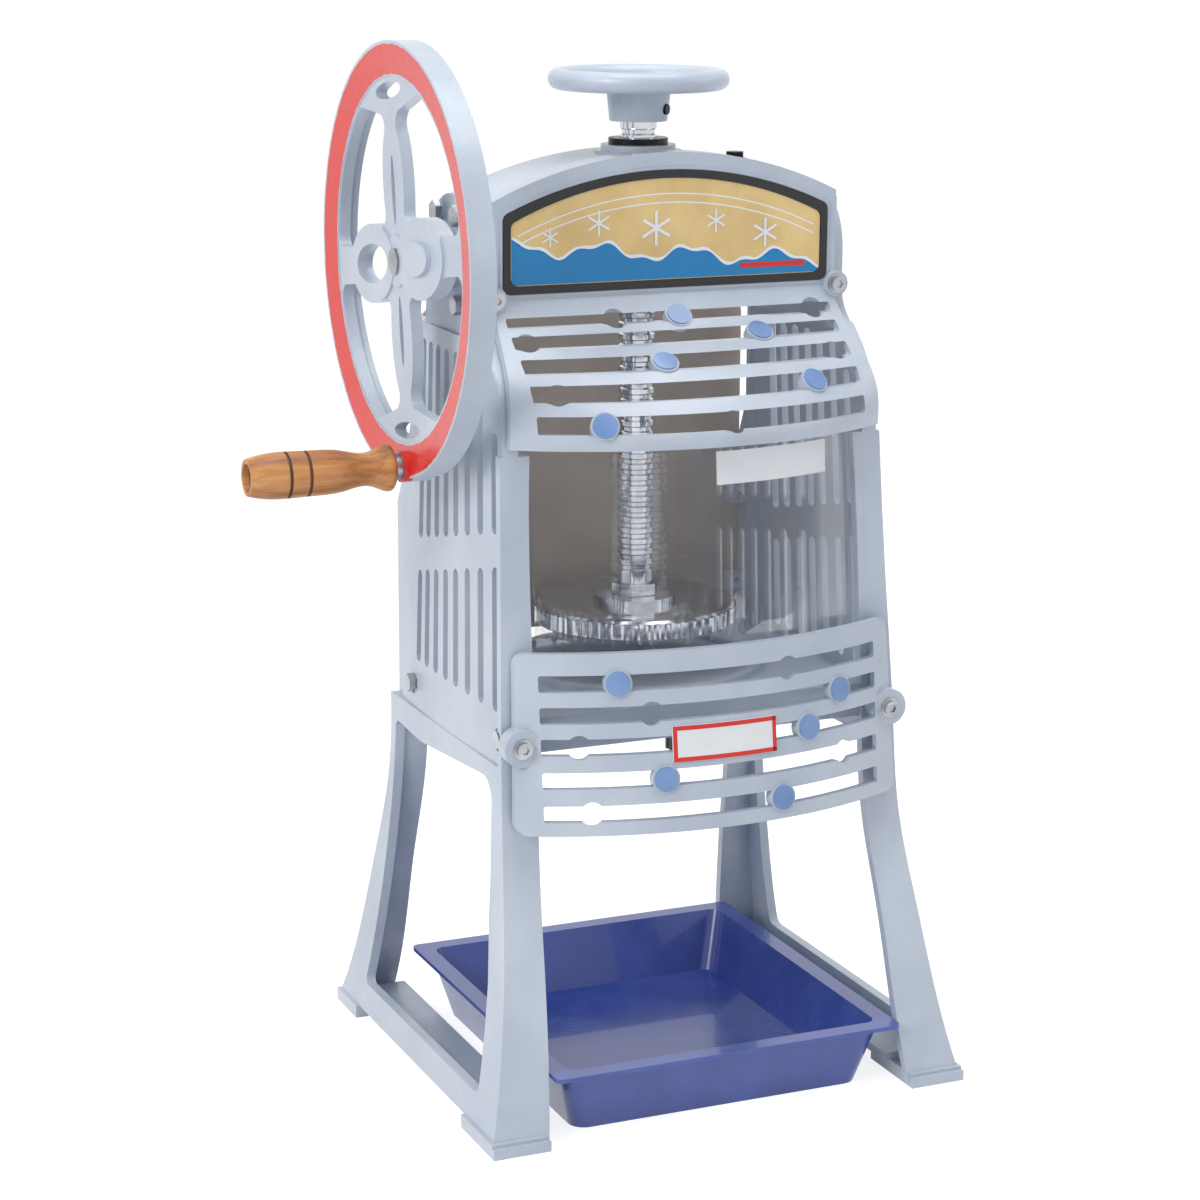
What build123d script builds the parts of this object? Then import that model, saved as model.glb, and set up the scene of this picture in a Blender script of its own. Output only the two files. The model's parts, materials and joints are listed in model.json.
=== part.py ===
from build123d import *
from math import asin, atan, atan2, cos, degrees, radians, sin, sqrt
import os

os.makedirs("parts", exist_ok=True)

# Ice shaver with a hand crank. Millimetres. The origin is on the floor, under the feed screw's axis.
# +Z is up, the front faces -Y, and the flywheel with its crank is on the -X side.

# ---------------------------------------------------------------- clearances
seat_gap = 0.2  # between pieces that are bolted side by side
move_gap = 0.4  # between pieces that move past each other
run_gap = 0.05  # radial play of a shaft in its bush
press_gap = 0.02  # radial gap of a piece that is fixed on its shaft
hole_gap = 0.25  # radial play of a bolt in its hole

# ---------------------------------------------------------------- driving dimensions
axle_height = 490.0  # crank axis above the floor
wing_inside = 109.0  # from the middle to the inner face of a side frame
wing_wall = 8.0
web_wall = 6.0
flange_wall = 6.0
shelf_top = 212.0
shelf_wall = 6.0
ear_radius = 37.5
foot_height = 8.0
foot_front = 49.0  # length of the front foot pad
foot_rear = 37.0
foot_width = 35.0
rail_top = 24.0
rail_flange = 5.0
toe_lip = 3.0

table_top = 239.0
table_wall = 20.0
table_front = -96.0
table_rear = 78.0
table_rim_radius = 78.0
table_rim_wall = 6.0
table_rim_rise = 4.0

# Outlines of a side frame as (across, height). Widths count from the frame's inner face.
splay_outer = [(43, 0), (34, 40), (25, 100), (19, 160), (17, 220), (14, 300), (11.3, 392)]
splay_inner = [(8, 0), (3.8, 40), (-0.2, 110), (-3.4, 160), (-4.5, 220), (-7, 392)]
front_line = [(-148, 0), (-137, 40), (-122, 100), (-105, 160), (-98, 220), (-90, 300), (-82, 388)]
rear_line = [(124, 0), (111, 47), (102, 96), (91, 143), (87, 209)]
leg_opening = [
    (-111, 24), (-101, 86), (-91, 124), (-85, 170), (-84, 203), (33, 194), (77, 197), (81, 91), (85, 24)
]
leg_opening_corners = [5, 60, 60, 60, 14, 60, 5, 60, 5]
frame_depth = 200.0  # cutting blocks reach this far from the middle
hole_start = 10.0  # a hole through a side frame starts this far inside it

# Behind the hood the front outline climbs to the ear, as (depth, height above the crank axis).
neck_line = [(-81, -85), (-75.5, -67), (-63.5, -53.5), (-50, -42), (-40.5, -32), (-37.5, -20)]
wing_rear = [(45, -44), (88, -145), (97, -160)]

panel_bulge = 17.0  # how far the slotted side panel stands off the frame's inner face, at its foot
panel_bulge_top = 10.5
panel_sag = 1.5  # how far its front and rear edges stand back from its crest
panel_sag_top = 5.5
panel_wall = 4.5
panel_rear = 72.0
panel_base = 206.0
panel_crown = 448.0
pocket_base = 236.0
panel_slots = [(-83, 400), (-62, 420), (-42, 436), (-23, 438), (-6, 438), (11, 438), (27, 438), (42, 438)]
panel_slot_base = 242.0
panel_slot_width = 8.0
panel_slot_lean = 0.09  # rearward per unit of height at the front; the rearmost slots are upright
panel_bar_front = (328.0, 346.5)
panel_bar_rear = (292.0, 312.0)

shaft_radius = 7.5
shaft_bush_wall = 2.45
shaft_bush_length = 17.0
boss_radius = 17.0
boss_outer = 122.0
boss_inner = 50.0
shaft_tip = 26.0

table_bolt_radius = 4.0
table_bolts = [(-89.0, 12.0), (50.0, 15.0)]  # depth, and height of the seat over the frame's inner face
table_bolt_drop = 12.0
table_bolt_head = 5.0
table_bolt_flats = 10.0
table_bolt_boss = 9.6
table_bolt_well = 7.0
table_bolt_bite = 14.0
hood_bolt_radius = 3.0
hood_bolt_y = -14.0
hood_bolt_drop = 25.0
hood_bolt_flats = 10.0
bridge_bolt_radius = 3.5
bridge_bolts_y = [-14.0, 18.0]
bridge_bolt_rise = 26.0
bridge_bolt_flats = 11.0
ear_boss_share = 1.8  # boss against bolt
ear_boss = 1.0
ear_bolt_head = 4.0

# Hood: level sections of the apron as (height above the crank axis, half width, edge y, middle y, wall).
label_front = -43.0
label_wall = 5.0
hood_half = 109.0
hood_crown = 61.0
lug_half = 10.0
lug_back = -4.0
hood_screw_at = 108.5
hood_screw_drop = 19.0
hood_screw_radius = 2.5
hood_screw_rise = 3.5
hood_screw_boss = 7.5
hood_screw_seat = 5.5  # radius of its boss on the side frame
hood_screw_length = 13.0
hood_shoulder = 36.0
lip_depth = 16.0
lip_wall = 5.0
cheek_wall = 4.8
apron = [
    (-20.0, 108.0, -43.0, -43.5, 5.0),
    (-32.0, 108.5, -49.5, -52.5, 7.0),
    (-42.0, 110.0, -59.0, -66.0, 7.5),
    (-53.5, 112.0, -72.0, -86.0, 7.0),
    (-67.0, 114.5, -83.0, -105.0, 5.5),
    (-83.0, 116.0, -88.0, -121.0, 4.6),
    (-97.0, 116.5, -87.0, -123.0, 4.5),
]
apron_slots = [5.5, 6.5, 7.5, 9.0, 10.0]
apron_slot_half = 103.0
slot_corner = 1.5
apron_spots = [(0, 2.5), (1, 49.0), (2, -21.0), (3, 68.0), (4, -68.5)]
apron_holes = [(0, -37.0), (0, 91.0), (1, -94.5), (2, 93.0), (3, -89.0), (4, 7.0)]
spot_radius = 8.2
spot_disc_radius = 7.1
spot_disc_wall = 0.8
spot_rise = 1.2
hole_radius = 7.0

gasket_half = 102.7
gasket_base = -16.5
gasket_shoulder = 28.0
gasket_crown = 51.0
gasket_corner = 5.0
gasket_width = 4.5
gasket_wall = 1.5
gasket_bead = 1.8
gasket_bead_rise = 0.8
label_panel_wall = 0.8

# Lower grille
grille_middle = 226.0
grille_top = 279.0
grille_base = 175.5
grille_radius = 262.0
grille_front = -133.5
grille_lean = 0.12  # forward per unit of drop
grille_wall = 5.0
grille_half_top = 118.5
grille_half_base = 122.0
grille_corner = 7.0
grille_ear_radius = 11.0
grille_screw_at = 117.3
grille_screw_radius = 3.0
grille_ear_rise = 3.4
grille_ear_gap = 0.5  # the ears' backs stand this far in front of the sheet's rear edge
grille_boss_radius = 7.5
washer_wall = 1.2
washer_disc_radius = 5.8
screw_head = 2.6
screw_head_radius = 4.4
socket_radius = 2.5
grille_slots = [262.0, 244.0, 226.0, 207.0, 188.0]
grille_slot_height = 9.5
grille_slot_half = 107.0
grille_spots = [(262.0, -64.6), (244.0, 77.0), (226.0, 53.0), (206.5, -39.5), (188.0, 33.4)]
grille_holes = [(262.0, 40.7), (244.0, -45.9), (226.0, -87.0), (207.0, 80.0), (188.0, -81.4)]
plate_left = -35.0
plate_right = 30.0
plate_height = 20.5
plate_wall = 1.2

# Front window and rear cover
window_half = 101.3
window_base = 272.0
window_top = 388.0
window_bulge = 24.0
window_wall = 2.0
cover_face = 80.0
cover_wall = 2.5
cover_base = 246.0
cover_top = 452.0
cover_corner = 14.0
cover_lug = 10.0
cover_screw_radius = 2.0
cover_screw_head = 1.5
cover_screws_z = [266.0, 322.0]

# Top bridge
bridge_front = -26.6
bridge_rear = 28.0
bridge_crown = 59.0
bridge_underside = 30.0
bridge_flange_drop = 19.0
bridge_flange_wall = 9.0
bridge_boss_radius = 26.0
bridge_neck_radius = 22.0
bridge_boss_top = 62.5
bridge_skin = 6.0
bridge_spring = 4.0  # height of its ends, where the arch begins
bridge_hollow_spring = 1.0
roof_bolt_at = 70.0
roof_bolt_y = 14.0
roof_bolt_radius = 3.0
roof_bolt_boss = 7.0
roof_bolt_seat = 51.5
roof_bolt_head = 3.5
roof_bolt_flats = 10.0

# Bevel gears, both with their cones' tips where the two axes cross
pinion_mean = 16.0
gear_mean = 32.0
pinion_teeth = 16
gear_teeth = 32
tooth_inner = 27.0  # distance from the cones' tip, along the pinion's axis
tooth_outer = 36.0
tooth_tip = 1.8
tooth_root = 2.2
tooth_half_tip = 0.6
tooth_half_pitch = 1.2
tooth_half_root = 1.75
tooth_bite = 0.4
gear_neck_base = 10.0
pinion_hub_radius = 12.0
pinion_hub_end = 49.0
pinion_pin_radius = 2.0
gear_hub_radius = 15.0
gear_top = 27.0
gear_bush_wall = 3.0
collar_wall = 2.5
collar_height = 3.3
thrust_washer_radius = 25.0

# Feed screw, handwheel and press
screw_radius = 10.9
screw_top = 592.0
thread_pitch = 6.5
thread_depth = 1.2
thread_base = 298.0
thread_turns = 41
thread_shares = (0.15, 0.45, 0.6)  # end of the falling flank, of the root and of the rising flank
nut_gap = 0.3
wheel_middle = 590.0
wheel_ring = 47.0
wheel_tube = 6.0
wheel_hub_base = 566.0
wheel_hub_radius = 17.0
wheel_hub_flare = 19.0
wheel_hub_height = 24.0
wheel_plate_wall = 5.0
set_screw_radius = 3.0
set_screw_drop = 17.0
set_screw_turn = -50.0  # degrees from +X, at the front right of the hub
disc_radius = 61.0
disc_base = 266.5
disc_wall = 12.5
disc_chamfer = 1.5
disc_collar_radius = 25.0
disc_collar_wall = 4.0
disc_nut_flats = 26.0
disc_nut_height = 7.0
spike_radius = 2.6
spike_length = 8.0
spike_rings = [(18.0, 6), (36.0, 10), (52.0, 14)]

# Flywheel and crank
wheel_face = 153.0
wheel_rim_radius = 124.0
wheel_rim_depth = 15.0
wheel_rim_inside = 104.5
wheel_rim_edge = 1.5
wheel_dish = 2.5
wheel_web_face = 150.0
wheel_web_wall = 7.0
wheel_hub = 15.0
wheel_hub_inner = 124.5
wheel_hub_face = 151.0
loop_offset = 40.0  # the two loops beside the hub
loop_across = 37.0
loop_along = 23.0
loop_face = 151.5
loop_wall = 9.5
eye_across = 26.5  # open eye of the rear loop
eye_along = 11.5
eye_offset = 40.0
dome_across = 20.0  # closed eye of the front loop
dome_along = 9.5
dome_rise = 3.0
leaf_offset = 43.0  # the two leaf-shaped spokes
leaf_across = 17.0
leaf_along = 38.0
fork_stem = (5.5, 76.0)  # each spoke forks before the rim
fork_knee = (14.0, 84.0)
fork_tip = (50.0, 91.0)
arm_half = 11.0
arm_start = 66.0
slit_offset = 40.0
slit_across = 2.8
slit_along = 20.0
lens_offset = 96.5
lens_across = 21.0
lens_along = 4.8
window_radius = 103.0
window_round = 7.0
crank_radius = 117.0
crank_lead = 8.0  # degrees ahead of straight down
pin_radius = 4.5
pin_boss_radius = 9.0
pin_boss_face = 156.0
pin_head_wall = 4.0
pin_collar_radius = 7.5
pin_collar_wall = 3.5
pin_nut_flats = 13.0
pin_nut_wall = 5.0
grip_start = 160.0
grip_length = 87.0
grip_profile = [(7.8, 0), (13.5, 3), (10.4, 13), (11.8, 31), (13.1, 52), (12.9, 76), (10.6, 87)]
grip_grooves = [(52.7, 13.1), (64.5, 13.2)]  # along the grip, and its radius there
groove_depth = 0.6
groove_width = 1.4
grip_pocket_radius = 8.0
grip_pocket_depth = 8.0

# Blade, its holder and the knob that sets it
blade_start = 8.0
blade_length = 60.0
blade_width = 20.0
blade_wall = 2.5
blade_bevel = 4.0
blade_slope = 22.0  # degrees
blade_edge_y = 6.0
blade_edge_rise = 0.3
chute_front = -14.0
chute_rear = 18.0
holder_height = 15.0
setting_screw_radius = 5.0
setting_screw_at = 38.0
setting_screw_y = -5.0
bracket_wall = 6.0
bracket_drop = 40.0
bracket_reach = 8.0
knob_radius = 17.0
knob_height = 16.0
knob_grips = 12
knob_grip_radius = 2.4
blade_screw_radius = 2.0
blade_screw_head = 3.6

# Drip tray
tray_half = 93.0
tray_front = -128.0
tray_rear = 77.0
tray_rim_half = 111.0
tray_rim_front = -146.0
tray_rim_rear = 96.0
tray_height = 40.0
tray_wall = 3.0
tray_corner = 10.0
tray_rim_corner = 4.0
tray_lip = 7.0
tray_lip_wall = 2.5


# ---------------------------------------------------------------- shared shapes
def shifted(line, offset):
    """An outline moved across."""
    return [(across + offset, height) for across, height in line]


def raised(line, lift):
    """An outline moved up."""
    return [(across, height + lift) for across, height in line]


def at_height(line, height):
    """How far across a smooth outline stands at a height."""
    curve = Edge.make_spline([Vector(across, up) for across, up in line])
    low = 0.0
    high = 1.0
    for _ in range(30):
        middle = (low + high) / 2
        if (curve @ middle).Y < height:
            low = middle
        else:
            high = middle
    return (curve @ low).X


def between(first, second):
    """Face between two smooth outlines."""
    with BuildLine() as outline:
        one = Spline(*first)
        two = Spline(*second)
        Line(one @ 0, two @ 0)
        Line(one @ 1, two @ 1)
    make_face(outline.edges())


def block(low, high, mode=Mode.ADD):
    """Square block between two corners."""
    with BuildSketch(Plane.XY.offset(low[2])) as outline:
        with Locations(((low[0] + high[0]) / 2, (low[1] + high[1]) / 2)):
            Rectangle(high[0] - low[0], high[1] - low[1])
    extrude(outline.sketch, amount=high[2] - low[2], mode=mode)


def rod(start, end, radius, mode=Mode.ADD):
    """Round bar from one point to another."""
    way = Vector(*end) - Vector(*start)
    with BuildSketch(Plane(origin=start, z_dir=way)) as outline:
        Circle(radius)
    extrude(outline.sketch, amount=way.length, mode=mode)


def hexagon(start, end, flats):
    """Six-sided bar from one point to another."""
    way = Vector(*end) - Vector(*start)
    with BuildSketch(Plane(origin=start, z_dir=way)) as outline:
        RegularPolygon(flats / 2, 6, major_radius=False)
    extrude(outline.sketch, amount=way.length)


def tube(start, end, outside, inside):
    """Round tube from one point to another."""
    rod(start, end, outside)
    rod(start, end, inside, mode=Mode.SUBTRACT)


def bow_sag(half_width, edge, middle, x):
    """How far a bowed plate stands behind its middle at x."""
    depth = edge - middle
    radius = (half_width**2 + depth**2) / (2 * depth)
    return radius - sqrt(radius**2 - x**2)


def bowed(half_width, edge, middle, wall):
    """Section of a plate that bulges forward, seen from above."""
    with BuildLine() as outline:
        front = ThreePointArc((-half_width, edge), (0, middle), (half_width, edge))
        back = ThreePointArc((-half_width, edge + wall), (0, middle + wall), (half_width, edge + wall))
        Line(front @ 0, back @ 0)
        Line(front @ 1, back @ 1)
    make_face(outline.edges())


def slot_through(x_half, z, height):
    """Level slot cut from front to back."""
    with BuildSketch(Plane.XZ) as outline:
        with Locations((0, z)):
            RectangleRounded(2 * x_half, height, slot_corner)
    extrude(outline.sketch, amount=frame_depth, both=True, mode=Mode.SUBTRACT)


def arched(half_width, base, shoulder, crown):
    """Face with a flat base, straight sides and an arched top, seen from the front."""
    with BuildLine() as outline:
        Polyline((-half_width, shoulder), (-half_width, base), (half_width, base), (half_width, shoulder))
        ThreePointArc((half_width, shoulder), (0, crown), (-half_width, shoulder))
    make_face(outline.edges())


# ---------------------------------------------------------------- side frames
outer_line = shifted(splay_outer, wing_inside)
inner_line = shifted(splay_inner, wing_inside)
wing_outside = wing_inside + wing_wall
frame_reach = wing_inside + splay_outer[0][0] + hole_start
ear_seat = wing_outside + ear_boss
label_back = label_front + label_wall
hood_screw_z = axle_height - hood_screw_drop
hood_bolt_z = axle_height - hood_bolt_drop
bridge_bolt_z = axle_height + bridge_bolt_rise
front_neck = raised(neck_line, axle_height)
rear_neck = raised(wing_rear, axle_height)
table_bolt_z = table_top - table_bolt_drop


def flange(line, wall):
    """Flange turned inward along a front or rear outline."""
    with BuildPart() as piece:
        with BuildSketch(Plane.YZ):
            between(line, shifted(line, wall))
        extrude(amount=frame_reach)
        with BuildSketch(Plane.XZ):
            between(inner_line, outer_line)
        extrude(amount=frame_depth, both=True, mode=Mode.INTERSECT)
    return piece.part


def leg_web():
    """Splayed web of the legs with the large opening between them."""
    with BuildPart() as piece:
        with BuildSketch(Plane.XZ):
            between(outer_line, shifted(outer_line, -web_wall))
        extrude(amount=frame_depth, both=True)
        with BuildSketch(Plane.YZ):
            with BuildLine():
                front = Spline(*front_line)
                rear = Spline(*rear_line)
                Polyline(front @ 0, rear @ 0)
                Polyline(front @ 1, ((rear @ 1).X, (front @ 1).Y), rear @ 1)
            make_face()
            with BuildLine():
                FilletPolyline(*leg_opening, radius=leg_opening_corners, close=True)
            make_face(mode=Mode.SUBTRACT)
            sole_start = front_line[0][0] + foot_front
            sole_end = rear_line[0][0] - foot_rear
            with Locations(((sole_start + sole_end) / 2, foot_height / 2)):
                Rectangle(sole_end - sole_start, foot_height, mode=Mode.SUBTRACT)
        extrude(amount=frame_reach, mode=Mode.INTERSECT)
        split(bisect_by=Plane.XY.offset(shelf_top), keep=Keep.BOTTOM)
    return piece.part


def wing_plate():
    """Upright plate over the shelf, with the round ear that carries the bridge."""
    with BuildPart() as piece:
        with BuildSketch(Plane.YZ.offset(wing_inside)):
            with BuildLine():
                base = (at_height(front_line, panel_base), panel_base)
                side = [point for point in front_line if point[1] > panel_base]
                front = Spline(base, *side, *front_neck)
                ear_front = (-ear_radius, axle_height)
                Line(front @ 1, ear_front)
                toward = Vector(*rear_neck[0]) - Vector(0, axle_height)
                lean = atan2(toward.Y, toward.X) + radians(90) - asin(ear_radius / toward.length)
                ear_rear = (ear_radius * cos(lean), axle_height + ear_radius * sin(lean))
                ThreePointArc(ear_front, (0, axle_height + ear_radius), ear_rear)
                Polyline(ear_rear, *rear_neck, (rear_neck[-1][0], panel_base), base)
            make_face()
        extrude(amount=wing_wall)
    return piece.part


def panel_block(inset, stand_back):
    """Barrelled block of the side panel, or the pocket behind it."""
    low = panel_base if inset == 0 else pocket_base
    span_low = panel_base - 1
    span_high = panel_crown + 1
    middle = (panel_rear + at_height(front_line, panel_base)) / 2
    half = (panel_rear - at_height(front_line, panel_base)) / 2
    with BuildPart() as piece:
        levels = ((span_low, panel_bulge, panel_sag), (span_high, panel_bulge_top, panel_sag_top))
        for height, bulge, sag in levels:
            crest = wing_inside + bulge - stand_back
            edge = crest - sag
            with BuildSketch(Plane.XY.offset(height)):
                with BuildLine():
                    arc = ThreePointArc((edge, middle - half), (crest, middle), (edge, middle + half))
                    inside = wing_inside - 1 if inset else wing_inside
                    Polyline(arc @ 1, (inside, middle + half), (inside, middle - half), arc @ 0)
                make_face()
        loft(ruled=True)
        with BuildSketch(Plane.YZ):
            with BuildLine():
                base = (at_height(front_line, low) + 2 * inset, low)
                side = [(y + 2 * inset, z) for y, z in front_line if z > low]
                top = panel_crown - inset
                neck = [(y + 2 * inset, z) for y, z in front_neck if z < top - inset - 1]
                Polyline(
                    base,
                    *side,
                    *neck,
                    (at_height(front_neck, top) + 2 * inset, top),
                    (panel_rear - inset, top),
                    (panel_rear - inset, low),
                    close=True,
                )
            make_face()
        extrude(amount=frame_reach, mode=Mode.INTERSECT)
    return piece.part


def panel_slot_cutters():
    """Upright slots of the side panel, parted by the plain slanted bar."""
    front_y = at_height(front_line, panel_base)
    span = panel_rear - front_y
    with BuildPart() as piece:
        for y, top in panel_slots:
            share = (y - front_y) / span
            bar_low = panel_bar_front[0] + share * (panel_bar_rear[0] - panel_bar_front[0])
            bar_high = panel_bar_front[1] + share * (panel_bar_rear[1] - panel_bar_front[1])
            lean = panel_slot_lean * (1 - share)
            for low, high in ((panel_slot_base, bar_low), (bar_high, top)):
                height = (low + high) / 2
                with BuildSketch(Plane.YZ.offset(wing_inside - 1)):
                    with Locations((y + lean * (height - panel_slot_base), height)):
                        SlotOverall(high - low, panel_slot_width, rotation=90 - degrees(atan(lean)))
                extrude(amount=wing_wall + panel_bulge)
    return piece.part


def grille_front_at(x, z):
    """Front face of the lower grille."""
    crest = grille_front - grille_lean * (grille_middle - z)
    return crest + grille_radius - sqrt(grille_radius**2 - x**2)


grille_ear_front = grille_front_at(grille_screw_at, grille_middle) - grille_ear_rise
grille_ear_back = grille_front_at(grille_half_base, grille_middle) + grille_wall - grille_ear_gap


with BuildPart() as right_side_frame:
    add(leg_web())
    add(wing_plate())
    add(flange(front_line, flange_wall))
    add(flange(rear_line, -flange_wall))
    shelf_out = at_height(outer_line, shelf_top)
    shelf_front = at_height(front_line, shelf_top)
    block((wing_inside, shelf_front, shelf_top - shelf_wall), (shelf_out, rear_line[-1][0], shelf_top))
    rail_out = at_height(outer_line, rail_top) - web_wall / 2
    rail_low = (wing_inside + 4, front_line[0][0] + foot_front / 2, foot_height)
    block(rail_low, (rail_out, rear_line[0][0] - foot_rear / 2, foot_height + rail_flange))
    foot_out = wing_inside + splay_outer[0][0]
    front_toe = front_line[0][0]
    rear_heel = rear_line[0][0]
    block((foot_out - foot_width, front_toe, 0), (foot_out, front_toe + foot_front, foot_height))
    block((foot_out - foot_width, front_toe - toe_lip, 0), (foot_out, front_toe, foot_height * 3 / 4))
    block((foot_out - foot_width, rear_heel - foot_rear, 0), (foot_out, rear_heel, foot_height))
    add(panel_block(0, 0))
    add(panel_block(4, panel_wall), mode=Mode.SUBTRACT)
    add(panel_slot_cutters(), mode=Mode.SUBTRACT)
    for bolt_y, seat in table_bolts:
        bolt_start = (wing_inside - hole_start, bolt_y, table_bolt_z)
        bolt_seat = (wing_inside + seat, bolt_y, table_bolt_z)
        bolt_end = (frame_reach, bolt_y, table_bolt_z)
        rod((wing_inside, bolt_y, table_bolt_z), bolt_seat, table_bolt_boss)
        rod(bolt_start, bolt_end, table_bolt_radius + hole_gap, mode=Mode.SUBTRACT)
        rod(bolt_seat, bolt_end, table_bolt_well, mode=Mode.SUBTRACT)
    ear_bolts = [(hood_bolt_y, hood_bolt_z, hood_bolt_radius)]
    ear_bolts += [(y, bridge_bolt_z, bridge_bolt_radius) for y in bridge_bolts_y]
    for bolt_y, bolt_z, radius in ear_bolts:
        bolt_start = (wing_inside - hole_start, bolt_y, bolt_z)
        rod((wing_inside, bolt_y, bolt_z), (ear_seat, bolt_y, bolt_z), ear_boss_share * radius)
        rod(bolt_start, (frame_reach, bolt_y, bolt_z), radius + hole_gap, mode=Mode.SUBTRACT)
    screw_start = (hood_screw_at, label_back + seat_gap, hood_screw_z)
    screw_stop = (hood_screw_at, label_back + hood_screw_length, hood_screw_z)
    rod(screw_start, screw_stop, hood_screw_seat)
    rod(screw_start, screw_stop, hood_screw_radius + hole_gap, mode=Mode.SUBTRACT)
    boss_y = grille_ear_back + seat_gap
    boss_back = at_height(front_line, grille_middle) + 2
    rod((grille_screw_at, boss_y, grille_middle), (grille_screw_at, boss_back, grille_middle), grille_boss_radius)
    screw_hole = grille_screw_radius + hole_gap
    screw_end = boss_back + flange_wall
    rod(
        (grille_screw_at, boss_y, grille_middle),
        (grille_screw_at, screw_end, grille_middle),
        screw_hole,
        mode=Mode.SUBTRACT,
    )
    for screw_z in cover_screws_z:
        lug_y = cover_face - seat_gap
        block(
            (wing_inside - cover_lug, lug_y - cover_lug, screw_z - cover_lug / 2),
            (wing_inside, lug_y, screw_z + cover_lug / 2),
        )
        rod(
            (wing_inside - cover_lug / 2, lug_y - cover_lug, screw_z),
            (wing_inside - cover_lug / 2, lug_y, screw_z),
            cover_screw_radius + hole_gap,
            mode=Mode.SUBTRACT,
        )
right_side_frame.part.label = "right_side_frame"
export_step(right_side_frame.part, "parts/right_side_frame.step")

with BuildPart() as left_side_frame:
    add(right_side_frame.part.mirror(Plane.YZ))
    rod((-boss_outer, 0, axle_height), (-boss_inner, 0, axle_height), boss_radius)
    bush_outside = shaft_radius + run_gap + shaft_bush_wall
    rod(
        (-boss_outer - 1, 0, axle_height),
        (-boss_inner + 1, 0, axle_height),
        bush_outside + press_gap,
        mode=Mode.SUBTRACT,
    )
left_side_frame.part.label = "left_side_frame"
export_step(left_side_frame.part, "parts/left_side_frame.step")

shaft_bore = shaft_radius + run_gap
for name, start in (("shaft_bush_outer", -boss_outer), ("shaft_bush_inner", -boss_inner - shaft_bush_length)):
    with BuildPart() as bush:
        tube((start, 0, axle_height), (start + shaft_bush_length, 0, axle_height), bush_outside, shaft_bore)
    bush.part.label = name
    export_step(bush.part, f"parts/{name}.step")


# ---------------------------------------------------------------- hood and label place
def apron_spot(row, x):
    """Point on the apron's front at one of its slots, and the way it faces."""
    above = apron[row]
    rise, half, edge, middle, _ = apron[row + 1]
    below = apron[row + 2]
    y = middle + bow_sag(half, edge, middle, x)
    y_above = above[3] + bow_sag(above[1], above[2], above[3], x)
    y_below = below[3] + bow_sag(below[1], below[2], below[3], x)
    depth = edge - middle
    radius = (half**2 + depth**2) / (2 * depth)
    slope_side = x / sqrt(radius**2 - x**2)
    slope_up = (y_above - y_below) / (above[0] - below[0])
    return Vector(x, y, axle_height + rise), Vector(slope_side, -1, slope_up).normalized()


def grille_spot(x, z):
    """Point on the lower grille's front, and the way it faces."""
    slope_side = x / sqrt(grille_radius**2 - x**2)
    return Vector(x, grille_front_at(x, z), z), Vector(slope_side, -1, grille_lean).normalized()


cheek_outside = wing_inside - seat_gap
lip_back = label_front + lip_depth
apron_base = axle_height + apron[0][0]
hood_screw_front = label_front - hood_screw_rise


def label_outline(inset):
    """Outline of the label place, or the same shape drawn in."""
    half = gasket_half - inset
    base = axle_height + gasket_base + inset
    arched(half, base, axle_height + gasket_shoulder - inset, axle_height + gasket_crown - inset)


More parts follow.
